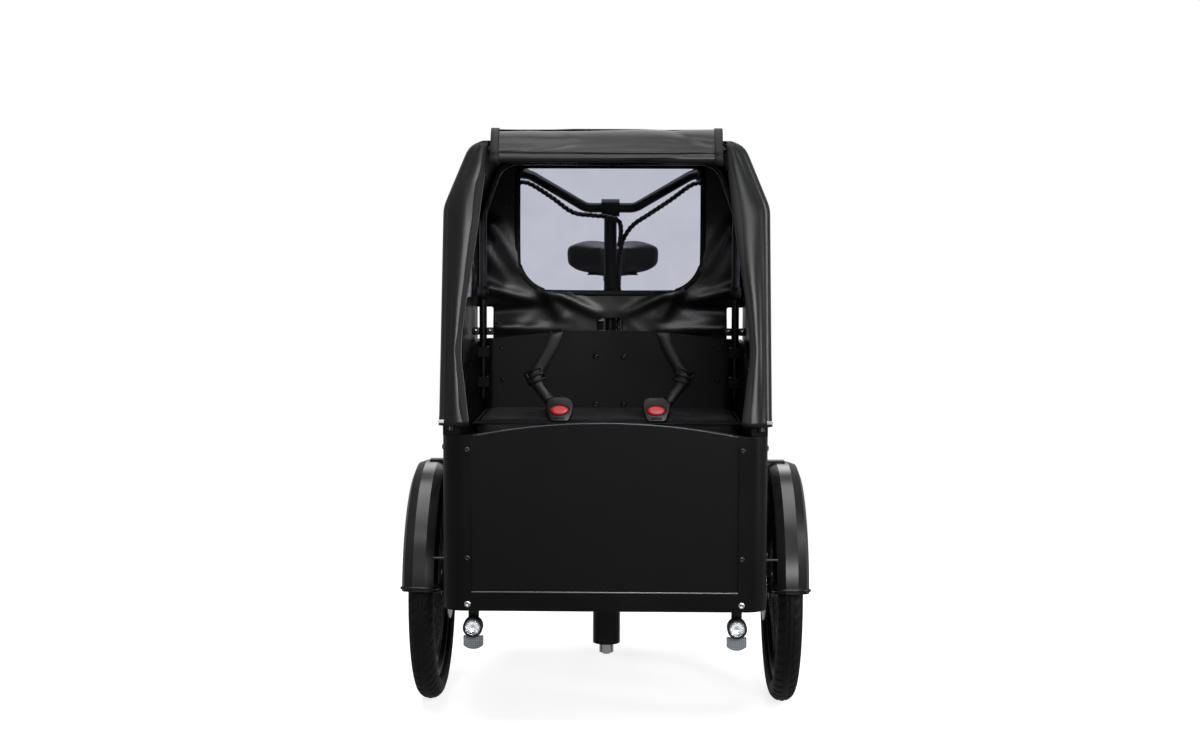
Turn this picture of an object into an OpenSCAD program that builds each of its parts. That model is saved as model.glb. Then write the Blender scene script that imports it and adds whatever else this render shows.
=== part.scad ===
// Electric cargo tricycle: two front wheels beside a passenger box with a rain canopy, and one rear wheel.
// The box, its wheels and the handlebar turn as one on a kingpin under the box.
// Millimetres. Forward is -Y, up is +Z and the rider's left is +X. The floor is at z = 0.

/* [Layout] */
// Distance from the back of the box to the bottom bracket
bb_setback = 424; // [400:2:520]
// Distance from a box side out to the middle of the front tyre
wheel_offset = 61; // [58:1:90]

/* [Front wheels] */
// Outer diameter of a front tyre
front_tyre_d = 516; // [500:2:530]
// Width of a front tyre
front_tyre_w = 55; // [44:1:58]
// Bead diameter of a front rim
front_bead_d = 406; // [400:1:410]
// Diameter of the stub axles
stub_axle_d = 20; // [15:1:24]
// Length of a front hub
front_hub_l = 90; // [86:1:100]
// Diameter of the brake discs
brake_disc_d = 160; // [140:5:180]
// Width of a front mudguard
front_guard_w = 76; // [70:1:86]

/* [Rear wheel] */
// Outer diameter of the rear tyre
rear_tyre_d = 654; // [640:2:670]
// Width of the rear tyre
rear_tyre_w = 50; // [40:1:54]
// Bead diameter of the rear rim
rear_bead_d = 559; // [550:1:562]
// Diameter of the hub motor
hub_motor_d = 148; // [120:2:180]
// Width of the hub motor
hub_motor_w = 60; // [50:1:64]
// Diameter of the rear axle
rear_axle_d = 12; // [10:1:14]
// Radial gap between each tyre and its mudguard
guard_gap = 16; // [10:1:24]

/* [Box] */
// Outside width of the box
box_w = 660; // [600:5:664]
// Outside length of the box
box_l = 880; // [840:5:920]
// Height of the front corners of the box
front_top_z = 633; // [610:1:660]
// Height of the rear corners of the box
back_top_z = 786; // [760:1:820]
// Rise of the arched front panel
front_rise = 27; // [5:1:40]
// Rise of the arched back panel
back_rise = 20; // [5:1:40]
// Thickness of the box panels
panel_t = 12; // [9:1:15]
// Thickness of the corner profiles
profile_t = 3; // [2:0.5:4]
// Outer radius of the corner profiles
corner_r = 45; // [35:1:50]
// Width of a corner profile's leg
profile_leg = 60; // [55:1:80]
// Height of the bottom rail
rail_h = 37; // [37:1:60]
// Distance from the box front back to the front axle
axle_setback = 390; // [360:5:430]

/* [Bench] */
// Height of the top of the cushion
seat_z = 615; // [560:1:625]
// Thickness of the cushion
cushion_t = 50; // [30:1:70]
// Depth of the bench from front to back
bench_l = 345; // [300:5:400]

/* [Canopy] */
// Thickness of the canopy's cloth
cloth_t = 3; // [2:0.5:4]
// Height of the canopy's lower hem
hem_z = 652; // [645:1:670]
// Height of the canopy's shoulders
shoulder_z = 1095; // [1050:5:1120]
// Height of the canopy's roof
roof_z = 1232; // [1200:2:1270]
// Distance of the cloth's outer face from the box side
canopy_gap = 7; // [6:1:12]
// How far the roof's edge lies inside the shoulders
roof_inset = 55; // [40:1:80]
// Backward lean of the canopy's front, in degrees
front_lean = 11; // [5:1:15]
// Diameter of the hoop tubes
hoop_d = 18; // [14:1:20]
// How far each end of the rolled-up front lies inside the roof's edge
roll_inset = 46; // [40:1:80]

/* [Rear frame] */
// Height of the bottom bracket
bb_z = 290; // [275:1:300]
// Distance from the bottom bracket back to the rear axle
chainstay_run = 470; // [450:5:490]
// Angle of the seat tube from level
seat_angle = 70; // [68:1:74]
// Length of the seat tube
seat_tube_l = 490; // [460:5:510]
// Diameter of the main tube
main_tube_d = 54; // [44:1:58]
// Diameter of the seat tube
seat_tube_d = 36; // [34:1:40]
// Height of the top of the saddle
saddle_z = 1040; // [1000:5:1060]
// Width of the saddle
saddle_w = 276; // [240:2:290]
// Length of the crank arms
crank_l = 170; // [160:1:175]

/* [Steering] */
// Diameter of the steering head tube
head_tube_d = 61; // [54:1:70]
// Height of the lower end of the head tube
head_tube_z = 124; // [115:1:130]
// Diameter of the kingpin
kingpin_d = 26; // [20:1:30]
// Height of the handlebar clamp
bar_z = 1116; // [1080:2:1140]
// Diameter of the handlebar
bar_d = 25; // [22:1:28]
// Diameter of the handlebar post
post_d = 32; // [28:1:36]

/* [Hidden] */
$fn = 64;
// Running gap of turning pieces on their shafts, and the gap between fitted pieces
run_gap = 0.25;
seat_gap = 0.3;

// The length is the box, the pedalling room, the rear triangle and the rear mudguard
guard_t = 3;
guard_r = rear_tyre_d / 2 + guard_gap + guard_t;
overall_l = box_l + bb_setback + chainstay_run + guard_r;
front_y = -overall_l / 2;
box_back_y = front_y + box_l;
axle_y = front_y + axle_setback;
axle_z = front_tyre_d / 2;
wheel_x = box_w / 2 + wheel_offset;
rear_axle_z = rear_tyre_d / 2;
rear_axle_y = overall_l / 2 - guard_r;
rear_axle = [0, rear_axle_y, rear_axle_z];

// Subframe: an axle beam with two rails on it, under the floor
beam = [50, 40];
beam_end_x = wheel_x - front_hub_l / 2 - 5;
beam_top_z = axle_z + beam.y / 2;
stub_end_x = wheel_x + front_hub_l / 2 + 10;

// Box: the wall is a panel behind the skin of the corner profiles, and the box stands on the beam
box_z = beam_top_z;
wall_t = panel_t + profile_t;
floor_z = box_z + rail_h;
inner_x = box_w / 2 - wall_t;
panel_x = box_w / 2 - corner_r;
bench_back_y = box_back_y - wall_t;
bench_front_y = bench_back_y - bench_l;

rail_x = box_w / 2 - 115;
rail_w = 30;

// Rear frame points, in the middle plane
bb = [0, rear_axle_y - chainstay_run, bb_z];
seat_dir = [0, cos(seat_angle), sin(seat_angle)];
seat_top = bb + seat_dir * seat_tube_l;
head_top_z = axle_z - beam.y / 2 - 6;
main_tube_z = head_tube_z + 44;
pivot = [0, axle_y, main_tube_z];
main_bend = [0, box_back_y + 160, main_tube_z + 20];
bb_shell_d = main_tube_d + 4;
bb_shell_w = 72;
stay_d = 18;
stay_bb_x = 26;
drop_x = 70;
drop_t = 6;
axle_end_x = 100;
spindle_d = 18;
seat_post_d = 28;
post_insert = 120;
post_drop = 80;

// Chain drive on the rider's right
chain_x = -53;
chain_pitch_l = 12.7;
ring_teeth = 42;
sprocket_teeth = 18;
ring_r = chain_pitch_l / 2 / sin(180 / ring_teeth);
sprocket_r = chain_pitch_l / 2 / sin(180 / sprocket_teeth);
chain_h = 8.4;
chain_w = 7;
chain_gap = 1;
arm_in_x = 74;
arm_t = 12;
pedal_w = 96;

// Handlebar post behind the box's back panel
post_y = box_back_y + 52;
back_panel_y = box_back_y - profile_t;
bar = [0, post_y, bar_z];
bracket_zs = [back_top_z - 45, back_top_z - 166];
// Left half of the bar from the middle outwards, as steps from the clamp
bar_steps = [[0, 0, 0], [62, 0, 0], [206, 12, 84], [292, 50, 92], [328, 222, 56]];
grip_l = 120;
grip_d = 34;

// Canopy
shoulder_x = box_w / 2 + canopy_gap;
roof_x = shoulder_x - roof_inset;
roll_x = roof_x - roll_inset;
foot_top_z = front_top_z + 22;
canopy_back_y = box_back_y + 14;
hoop_front_x = box_w / 2 - 14;
hoop_rear_x = inner_x - hoop_d / 2 - 2;
hoop_rear_y = bench_back_y - 175;
function lean_y(z) = front_y + 16 + (z - front_top_z) * tan(front_lean);

// Shared shapes

function unit(v) = v / norm(v);

// Left and right copies of what is drawn on the +X side
module both_sides() {
    children();
    mirror([1, 0, 0]) children();
}

// Round bar between two points
module rod(a, b, d) {
    along = b - a;
    translate(a) rotate([0, acos(along.z / norm(along)), atan2(along.y, along.x)]) cylinder(h = norm(along), d = d);
}

// Round bar along X between two places, at a point in the YZ plane
module cross_rod(x0, x1, at, d) {
    translate([min(x0, x1), at.y, at.z]) rotate([0, 90, 0]) cylinder(h = abs(x1 - x0), d = d);
}

// How much of each straight the bend at point i takes
function bend_cut(p, i, r) = (i == 0 || i == len(p) - 1) ? 0
    : r * tan((180 - acos(unit(p[i - 1] - p[i]) * unit(p[i + 1] - p[i]))) / 2);

// Quarter of a torus that rounds the corner between two straights
module elbow(corner, before, after, r, d) {
    a = unit(before - corner);
    b = unit(after - corner);
    turn = 180 - acos(a * b);
    start = corner + a * r * tan(turn / 2);
    centre = corner + unit(a + b) * r / cos(turn / 2);
    x = (start - centre) / r;
    z = cross(x, -a);
    multmatrix([
        [x.x, -a.x, z.x, centre.x],
        [x.y, -a.y, z.y, centre.y],
        [x.z, -a.z, z.z, centre.z],
        [0, 0, 0, 1]
    ]) rotate_extrude(angle = turn) translate([r, 0]) circle(d = d);
}

// Tube through a list of points, bent at radius r, with a thin weld seam at each end of a bend
module pipe(p, r, d) {
    seam = [3, 0.6];
    for (i = [0 : len(p) - 2]) {
        along = unit(p[i + 1] - p[i]);
        from = p[i] + along * bend_cut(p, i, r);
        to = p[i + 1] - along * bend_cut(p, i + 1, r);
        rod(from, to, d);
        if (i > 0) rod(from - along * seam.x / 2, from + along * seam.x / 2, d + seam.y);
        if (i < len(p) - 2) rod(to - along * seam.x / 2, to + along * seam.x / 2, d + seam.y);
    }
    for (i = [1 : len(p) - 2]) elbow(p[i], p[i - 1], p[i + 1], r, d);
}

// Section swept along points. The section's second axis stays near the direction called up.
function tangent(p, i) = unit(p[min(i + 1, len(p) - 1)] - p[max(i - 1, 0)]);
function sweep_ring(p, i, section, up) = let (
    t = tangent(p, i),
    side = unit(cross(t, up)),
    lift = cross(side, t)
) [for (s = section) p[i] + side * s.x + lift * s.y];
module sweep(p, section, up) {
    n = len(section);
    last = (len(p) - 1) * n;
    polyhedron(
        points = [for (i = [0 : len(p) - 1]) each sweep_ring(p, i, section, up)],
        faces = concat(
            [[for (k = [0 : n - 1]) k]],
            [[for (k = [n - 1 : -1 : 0]) last + k]],
            [for (i = [0 : len(p) - 2], k = [0 : n - 1])
                [i * n + k, (i + 1) * n + k, (i + 1) * n + (k + 1) % n, i * n + (k + 1) % n]]
        )
    );
}
function round_section(d, sides) = [for (k = [0 : sides - 1]) d / 2 * [cos(360 * k / sides), sin(360 * k / sides)]];
function flat_section(w, t) = [[-w / 2, -t / 2], [w / 2, -t / 2], [w / 2, t / 2], [-w / 2, t / 2]];

// Rectangle from a corner with rounded corners, as exact arcs
module rounded_square(size, r) {
    translate([r, 0]) square([size.x - 2 * r, size.y]);
    translate([0, r]) square([size.x, size.y - 2 * r]);
    for (x = [r, size.x - r], y = [r, size.y - r]) translate([x, y]) circle(r);
}

// Outline drawn in X and Z, with its depth along +Y from y0 to y1
module xz_plate(y0, y1) {
    translate([0, y1, 0]) rotate([90, 0, 0]) linear_extrude(y1 - y0) children();
}

// Outline drawn in Y and Z, with its depth along +X from x0 to x1
module yz_plate(x0, x1) {
    multmatrix([[0, 0, 1, x0], [1, 0, 0, 0], [0, 1, 0, 0], [0, 0, 0, 1]]) linear_extrude(x1 - x0) children();
}

// Block between two opposite corners
module block(a, b) {
    translate(a) cube(b - a);
}

// Wheels

// Profile of a tyre, seated round its rim
module tyre(tyre_d, tyre_w, bead_d, colour = "#141414") {
    rim_top = bead_d / 2 + 6;
    rim_w = tyre_w * 0.55;
    color(colour) rotate([0, 90, 0]) rotate_extrude($fn = 128) difference() {
        translate([tyre_d / 2 - tyre_w / 2, 0]) circle(d = tyre_w);
        translate([0, -rim_w / 2 - seat_gap]) square([rim_top + seat_gap, rim_w + 2 * seat_gap]);
    }
}

// Double-walled rim with a sloped spoke bed
module rim(tyre_w, bead_d) {
    bed_r = bead_d / 2 - 14;
    side_x = tyre_w * 0.55 / 2;
    color("#1b1b1c") rotate([0, 90, 0]) rotate_extrude($fn = 128) polygon([
        [bed_r, -6], [bed_r + 7, -side_x], [bead_d / 2 + 6, -side_x], [bead_d / 2 + 6, -side_x + 2],
        [bead_d / 2 - 2, -side_x + 3], [bead_d / 2 - 2, side_x - 3], [bead_d / 2 + 6, side_x - 2],
        [bead_d / 2 + 6, side_x], [bed_r + 7, side_x], [bed_r, 6]
    ]);
}

// Crossing spokes from one flange to the rim's spoke bed
module spokes(count, flange_x, flange_r, bed_r, spoke_d, cross_turn) {
    for (k = [0 : count - 1]) {
        lead = k % 2 == 0 ? 1 : -1;
        at = 360 * k / count;
        rod(
            [flange_x + lead * 2.6, (flange_r - 3) * cos(at), (flange_r - 3) * sin(at)],
            [2 * sign(flange_x), (bed_r - seat_gap) * cos(at + lead * cross_turn), (bed_r - seat_gap) * sin(at + lead * cross_turn)],
            spoke_d
        );
    }
}

module front_hub() {
    flange_x = 24;
    flange_r = 34;
    color("#2a2a2c") difference() {
        union() {
            rotate([0, 90, 0]) rotate_extrude() polygon([
                [0, -front_hub_l / 2], [17, -front_hub_l / 2], [20, -flange_x - 6], [20, -flange_x - 3],
                [flange_r, -flange_x - 2.5], [flange_r, -flange_x + 2.5], [20, -flange_x + 8], [20, flange_x - 8],
                [flange_r, flange_x - 2.5], [flange_r, flange_x + 2.5], [20, flange_x + 3], [17, front_hub_l / 2],
                [0, front_hub_l / 2]
            ]);
            for (side = [-1, 1]) rotate([side * 10, 0, 0])
                spokes(18, side * flange_x, flange_r, front_bead_d / 2 - 14, 2.2, 34);
        }
        cross_rod(-front_hub_l, front_hub_l, [0, 0, 0], stub_axle_d + 2 * run_gap);
    }
}

// Brake disc on the inner end of a front hub, with slots between its arms
module front_disc() {
    disc_t = 2;
    inner_r = 17 + 1.5;
    color("silver") rotate([0, 90, 0]) linear_extrude(disc_t, center = true) difference() {
        circle(d = brake_disc_d);
        circle(inner_r);
        for (k = [0 : 5]) rotate(60 * k) difference() {
            intersection() {
                difference() {
                    circle(d = brake_disc_d - 34);
                    circle(inner_r + 9);
                }
                polygon([[0, 0], [brake_disc_d, 0], [brake_disc_d * cos(40), brake_disc_d * sin(40)]]);
            }
        }
    }
}
disc_x = front_hub_l / 2 - 7;

module at_front_wheel(side) {
    translate([side * wheel_x, axle_y, axle_z]) mirror([side > 0 ? 0 : 1, 0, 0]) children();
}
module front_tyre_left() at_front_wheel(1) tyre(front_tyre_d, front_tyre_w, front_bead_d);
module front_rim_left() at_front_wheel(1) rim(front_tyre_w, front_bead_d);
module front_hub_left() at_front_wheel(1) front_hub();
module front_disc_left() at_front_wheel(1) translate([-disc_x, 0, 0]) front_disc();
module front_tyre_right() at_front_wheel(-1) tyre(front_tyre_d, front_tyre_w, front_bead_d);
module front_rim_right() at_front_wheel(-1) rim(front_tyre_w, front_bead_d);
module front_hub_right() at_front_wheel(-1) front_hub();
module front_disc_right() at_front_wheel(-1) translate([-disc_x, 0, 0]) front_disc();

module rear_tyre() translate(rear_axle) tyre(rear_tyre_d, rear_tyre_w, rear_bead_d);
module rear_rim() translate(rear_axle) rim(rear_tyre_w, rear_bead_d);
module rear_hub_motor() {
    flange_x = hub_motor_w / 2 - 8;
    flange_r = hub_motor_d / 2;
    color("#202022") translate(rear_axle) difference() {
        union() {
            rotate([0, 90, 0]) rotate_extrude($fn = 96) polygon([
                [0, -hub_motor_w / 2 - 8], [24, -hub_motor_w / 2 - 8], [28, -hub_motor_w / 2], [flange_r - 14, -hub_motor_w / 2],
                [flange_r - 8, -flange_x - 3], [flange_r, -flange_x - 2.5], [flange_r, -flange_x + 2.5],
                [flange_r - 5, -flange_x + 6], [flange_r - 5, flange_x - 6], [flange_r, flange_x - 2.5],
                [flange_r, flange_x + 2.5], [flange_r - 8, flange_x + 3], [flange_r - 14, hub_motor_w / 2],
                [28, hub_motor_w / 2], [24, hub_motor_w / 2 + 8], [0, hub_motor_w / 2 + 8]
            ]);
            for (side = [-1, 1]) rotate([side * 10, 0, 0])
                spokes(18, side * flange_x, flange_r, rear_bead_d / 2 - 14, 2.2, 14);
        }
        cross_rod(-hub_motor_w, hub_motor_w, [0, 0, 0], rear_axle_d + 2 * run_gap);
    }
}

// Toothed wheel whose tips stay just inside the chain
module toothed_outline(pitch_r, teeth) {
    tip = pitch_r - chain_h / 2 - chain_gap;
    root = tip - 4;
    polygon([for (k = [0 : 2 * teeth - 1], e = [-0.25, 0.25])
        (k % 2 == 0 ? tip : root) * [cos(180 * (k + e) / teeth), sin(180 * (k + e) / teeth)]]);
}
module rear_sprocket() {
    hub_face = hub_motor_w / 2 + 8;
    boss_r = 17;
    color("#77777a") translate(rear_axle) difference() {
        union() {
            yz_plate(chain_x - 1.5, chain_x + 1.5) toothed_outline(sprocket_r, sprocket_teeth);
            cross_rod(chain_x - 3, -hub_face, [0, 0, 0], 2 * boss_r);
        }
        cross_rod(chain_x - 20, 0, [0, 0, 0], rear_axle_d + 2 * run_gap);
    }
}

// Rear frame

// Main tube, seat tube, bottom bracket shell and steering head, welded together
module frame() {
    color("#131314") difference() {
        union() {
            translate([0, axle_y, head_tube_z]) cylinder(h = head_top_z - head_tube_z, d = head_tube_d);
            pipe([pivot, main_bend, bb], 140, main_tube_d);
            rod(bb, seat_top, seat_tube_d);
            rod(seat_top - seat_dir * 26, seat_top, seat_tube_d + 8);
            cross_rod(-bb_shell_w / 2, bb_shell_w / 2, bb, bb_shell_d);
        }
        translate([0, axle_y, 0]) cylinder(h = axle_z, d = kingpin_d + 2 * run_gap);
        cross_rod(-bb_shell_w, bb_shell_w, bb, spindle_d + 2 * run_gap);
        rod(seat_top - seat_dir * (post_insert + post_drop), seat_top + seat_dir, seat_post_d + 2 * run_gap);
    }
}

// Chain stays with the dropout plates that hold the rear axle
module chain_stays() {
    stay_end = [drop_x, rear_axle_y - 26, rear_axle_z];
    color("#131314") both_sides() difference() {
        union() {
            rod([stay_bb_x, bb.y, bb.z], stay_end, stay_d);
            yz_plate(drop_x - drop_t / 2, drop_x + drop_t / 2) union() {
                translate([rear_axle_y, rear_axle_z]) circle(26);
                translate([rear_axle_y - 44, rear_axle_z - 9]) square([30, 18]);
                translate([rear_axle_y - 14, rear_axle_z]) square([28, 44]);
            }
        }
        cross_rod(-bb_shell_w, bb_shell_w, bb, bb_shell_d + 2 * seat_gap);
        cross_rod(0, axle_end_x, rear_axle, rear_axle_d + 2 * run_gap);
    }
}

// Seat stays from the seat tube down to the dropouts
module seat_stays() {
    top = seat_top + [22, 0, 0] - seat_dir * 55;
    foot = [drop_x, rear_axle_y, rear_axle_z + 53];
    bridge_dir = top + (foot - top) * 0.3 - rear_axle;
    bridge = rear_axle + unit([0, bridge_dir.y, bridge_dir.z]) * (guard_r + 6 + seat_gap);
    color("#131314") difference() {
        union() {
            both_sides() {
                rod(top, foot, 15);
                block(foot - [8, 8, 9], foot + [8, 8, 6]);
            }
            cross_rod(-34, 34, bridge, 12);
        }
        rod(bb, seat_top, seat_tube_d + 2 * seat_gap);
    }
}

// Axle with a nut at each dropout and free threaded ends
module rear_axle() {
    color("silver") {
        cross_rod(-axle_end_x, axle_end_x, rear_axle, rear_axle_d);
        for (side = [-1, 1]) translate([side * (drop_x + drop_t / 2 + 5), rear_axle_y, rear_axle_z])
            rotate([0, 90, 0]) cylinder(h = 10, d = 21, center = true, $fn = 6);
    }
}

// Saddle, carrier and rear fittings

clamp_z = saddle_z - 104;
clamp_at = bb + seat_dir * ((clamp_z - bb_z) / seat_dir.z);
saddle_base_z = saddle_z - 55;
module seat_post() {
    color("#9a9a9d") rod(seat_top - seat_dir * (post_insert - 2), clamp_at, seat_post_d);
}

// Saddle shell as one drawn skin over two rear lobes and a nose
module saddle() {
    rear_r = 62;
    nose = [0, clamp_at.y - 84, saddle_base_z];
    lobe = [saddle_w / 2 - rear_r, clamp_at.y + 104, saddle_base_z];
    color("#17171a") hull($fn = 32) {
        translate(nose) cylinder(h = 40, r1 = 30, r2 = 20);
        both_sides() translate(lobe) cylinder(h = 55, r1 = rear_r, r2 = rear_r - 24);
    }
}

// Clamp, rails and the two coil springs under the saddle
module saddle_springs() {
    spring = [58, clamp_at.y + 104, clamp_z + 4];
    nose = [14, clamp_at.y - 78, saddle_base_z - 7];
    turns = 6;
    pitch = (saddle_base_z - seat_gap - spring.z) / turns;
    color("#2b2b2d") difference() {
        union() {
            translate(clamp_at - [26, 26, 16]) cube([52, 52, 26]);
            both_sides() {
                pipe([nose, clamp_at + [20, -22, 0], clamp_at + [20, 24, 0], spring - [0, 0, 1]], 12, 7);
                translate(nose - [4, 6, 4]) cube([8, 12, 11 - seat_gap]);
                translate(spring) rotate_extrude() polygon(concat(
                    [[0, -5], [19, -5]],
                    [for (k = [0 : turns - 1]) each [[14, pitch * k], [18, pitch * (k + 0.5)]]],
                    [[14, pitch * turns], [0, pitch * turns]]
                ));
            }
        }
        rod(clamp_at - seat_dir * 60, clamp_at, seat_post_d + 2 * run_gap);
    }
}

deck_z = guard_r + rear_axle_z + 117;
deck_t = 6;
deck = [rear_axle_y - 70, rear_axle_y + 286];
deck_x = 88;
// Luggage carrier with a slotted deck and a forked leg on each side
module carrier() {
    color("#161617") {
        difference() {
            translate([-deck_x, deck[0], deck_z]) linear_extrude(deck_t) rounded_square([2 * deck_x, deck[1] - deck[0]], 20);
            for (x = [-60, 12]) for (k = [0 : 3]) translate([x, deck[0] + 44 + 72 * k, deck_z - 1])
                linear_extrude(deck_t + 2) rounded_square([48, 50], 8);
        }
        both_sides() {
            foot = [drop_x + drop_t / 2 + 14.5, rear_axle_y, rear_axle_z + 31];
            translate(foot - [14.3, 9, 11]) cube([13, 18, 20]);
            translate(foot - [8.5, 16, 12]) cube([17, 42, 40]);
            rod(foot, [deck_x - 9, deck[0] + 34, deck_z + deck_t / 2], 11);
            rod(foot, [deck_x - 9, deck[1] - 70, deck_z + deck_t / 2], 9);
        }
    }
}

// Battery hung under the carrier's deck
module battery() {
    size = [120, 318, 74];
    color("#18181a") translate([0, deck[0] + 14, deck_z - seat_gap]) difference() {
        translate([0, size.y, 0]) rotate([90, 0, 0]) linear_extrude(size.y)
            translate([-size.x / 2, -size.z]) rounded_square([size.x, size.z], 12);
        translate([-size.x / 2 - 1, size.y - 12, -size.z / 2 - 2]) cube([8, 30, 4]);
    }
}

// Arc about X through a point, from degrees above forward; the outline is drawn as radius and width
module arc_about_x(at, from, to) {
    translate(at) multmatrix([[0, 0, -1, 0], [-1, 0, 0, 0], [0, 1, 0, 0], [0, 0, 0, 1]])
        rotate([0, 0, from]) rotate_extrude(angle = to - from, $fn = 96) children();
}

module rear_mudguard() {
    stay_angle = 172;
    stay_r = guard_r - 10;
    eye = [drop_x + drop_t / 2 + 3, rear_axle_y + 18, rear_axle_z - 8];
    color("#1a1a1b") {
        arc_about_x(rear_axle, 22, 195) polygon([
            [guard_r, -14], [guard_r, 14], [guard_r - 5, 24], [guard_r - 15, 28], [guard_r - 15, 25],
            [guard_r - 8, 22], [guard_r - guard_t, 13], [guard_r - guard_t, -13], [guard_r - 8, -22],
            [guard_r - 15, -25], [guard_r - 15, -28], [guard_r - 5, -24]
        ]);
        both_sides() {
            cross_rod(eye.x - 2.8, eye.x + 2.8, eye, 11);
            rod(eye, rear_axle + [25, -stay_r * cos(stay_angle), stay_r * sin(stay_angle)], 5);
        }
    }
}

module rear_lamp() {
    color("#7a1214") translate([0, deck[1] + 0.1, 0]) {
        xz_plate(0, 18) translate([-45, deck_z - 20]) rounded_square([90, 26], 8);
    }
}

// Chain as one loop round the ring and the sprocket, with the waist of each link

centre_line = [rear_axle_y - bb.y, rear_axle_z - bb.z];
centre_d = norm(centre_line);
line_angle = atan2(centre_line.y, centre_line.x);
wrap = acos((ring_r - sprocket_r) / centre_d);
run_l = centre_d * sin(wrap);
sprocket_arc = sprocket_r * wrap * PI / 90;
ring_arc = ring_r * (180 - wrap) * PI / 90;
loop_l = 2 * run_l + sprocket_arc + ring_arc;
links = 2 * round(loop_l / chain_pitch_l / 2);
function polar(a) = [cos(a), sin(a)];
function chain_point(s, off) =
    s < run_l ? let (n = polar(line_angle + wrap))
        [bb.y, bb.z] + n * (ring_r + off) + polar(line_angle + wrap - 90) * s
    : s < run_l + sprocket_arc ? let (a = line_angle + wrap - (s - run_l) / sprocket_r * 180 / PI)
        [rear_axle_y, rear_axle_z] + polar(a) * (sprocket_r + off)
    : s < 2 * run_l + sprocket_arc ? let (n = polar(line_angle - wrap))
        [rear_axle_y, rear_axle_z] + n * (sprocket_r + off)
        + polar(line_angle - wrap - 90) * (s - run_l - sprocket_arc)
    : let (a = line_angle - wrap - (s - 2 * run_l - sprocket_arc) / ring_r * 180 / PI)
        [bb.y, bb.z] + polar(a) * (ring_r + off);
function chain_edge(side) = [for (k = [0 : 2 * links - 1])
    chain_point(loop_l * k / links / 2, side * (k % 2 == 0 ? chain_h / 2 : chain_h / 2 - 1.3))];
module chain() {
    color("#4a4a4c") yz_plate(chain_x - chain_w / 2, chain_x + chain_w / 2) difference() {
        polygon(chain_edge(1));
        polygon(chain_edge(-1));
    }
}

// Guard over the ring and the upper run, on the right chain stay
function stay_at(y) = [stay_bb_x, bb.y, bb.z]
    + [drop_x - stay_bb_x, rear_axle_y - 26 - bb.y, rear_axle_z - bb.z] * (y - bb.y) / (rear_axle_y - 26 - bb.y);
module chain_guard() {
    guard_in = chain_x - chain_w / 2 - 5;
    low = bb.z + 56;
    boss_y = bb.y + 225;
    boss = stay_at(boss_y);
    pad = chain_point(run_l * 0.55, 0);
    color("#151516") difference() {
        union() {
            yz_plate(guard_in - 3, guard_in) {
                difference() {
                    union() {
                        translate([bb.y, bb.z]) circle(ring_r + 14);
                        polygon([
                            chain_point(0, 14), chain_point(run_l * 0.82, 14), chain_point(run_l * 0.86, 0),
                            chain_point(run_l * 0.82, -16), chain_point(0, -20)
                        ]);
                    }
                    translate([bb.y, bb.z]) circle(58);
                    translate([bb.y - 200, low - 300]) square([600, 300]);
                }
                translate([boss_y - 11, boss.z - 8]) square([22, low - boss.z + 14]);
            }
            cross_rod(-boss.x, guard_in - 1, boss, 14);
            cross_rod(guard_in - 1, guard_in + 5 - seat_gap, [0, pad.x, pad.y], 12);
        }
        mirror([1, 0, 0]) rod([stay_bb_x, bb.y, bb.z], [drop_x, rear_axle_y - 26, rear_axle_z], stay_d + 2 * seat_gap);
    }
}

// Cranks and pedals, the left one forward

module crank_arm() {
    yz_plate(arm_in_x, arm_in_x + arm_t) {
        circle(17);
        translate([-crank_l, 0]) circle(13);
        polygon([[-10, -13], [-10, 13], [-crank_l, 11], [-crank_l, -11]]);
    }
    cross_rod(arm_in_x, arm_in_x + arm_t + pedal_w, [0, -crank_l, 0], 12);
}
module crankset() {
    color("#2d2d30") translate(bb) {
        cross_rod(-arm_in_x - 1, arm_in_x + 1, [0, 0, 0], spindle_d);
        cross_rod(-arm_in_x - 1, -bb_shell_w / 2 - 1, [0, 0, 0], 40);
        cross_rod(bb_shell_w / 2 + 1, arm_in_x + 1, [0, 0, 0], 28);
        crank_arm();
        rotate([180, 0, 0]) mirror([1, 0, 0]) crank_arm();
        yz_plate(chain_x - 1.5, chain_x + 1.5) difference() {
            toothed_outline(ring_r, ring_teeth);
            for (k = [0 : 4]) rotate(72 * k + 36) translate([46, 0]) circle(17);
        }
    }
}

module pedal(side) {
    size = [pedal_w - 4, 96, 22];
    color("#1c1c1e") translate(bb + [side * (arm_in_x + arm_t + 4), -side * crank_l, 0]) mirror([side > 0 ? 0 : 1, 0, 0])
        difference() {
            translate([0, -size.y / 2, -size.z / 2]) cube(size);
            for (y = [-36, 12]) translate([12, y, -size.z]) cube([size.x - 24, 24, 2 * size.z]);
            cross_rod(-1, size.x + 1, [0, 0, 0], 12 + 2 * run_gap);
        }
}
module pedal_left() pedal(1);
module pedal_right() pedal(-1);

// Steering subframe

// Axle beam with stub axles and nuts, and the rails that carry the box floor
module subframe() {
    rail_top_z = floor_z - panel_t;
    color("#151515") {
        block([-beam_end_x, axle_y - beam.x / 2, axle_z - beam.y / 2], [beam_end_x, axle_y + beam.x / 2, beam_top_z]);
        for (side = [-1, 1]) {
            cross_rod(side * (beam_end_x - 1), side * stub_end_x, [0, axle_y, axle_z], stub_axle_d);
            translate([side * (stub_end_x - 5), axle_y, axle_z]) rotate([0, 90, 0])
                cylinder(h = 8, d = stub_axle_d + 10, center = true, $fn = 6);
            block(
                [side * rail_x - rail_w / 2, front_y + 60, beam_top_z],
                [side * rail_x + rail_w / 2, box_back_y - 60, rail_top_z]
            );
        }
        for (y = [front_y + 85, axle_y - 20, box_back_y - 100])
            block([-inner_x + 12, y, beam_top_z], [inner_x - 12, y + 40, rail_top_z]);
    }
}

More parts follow.
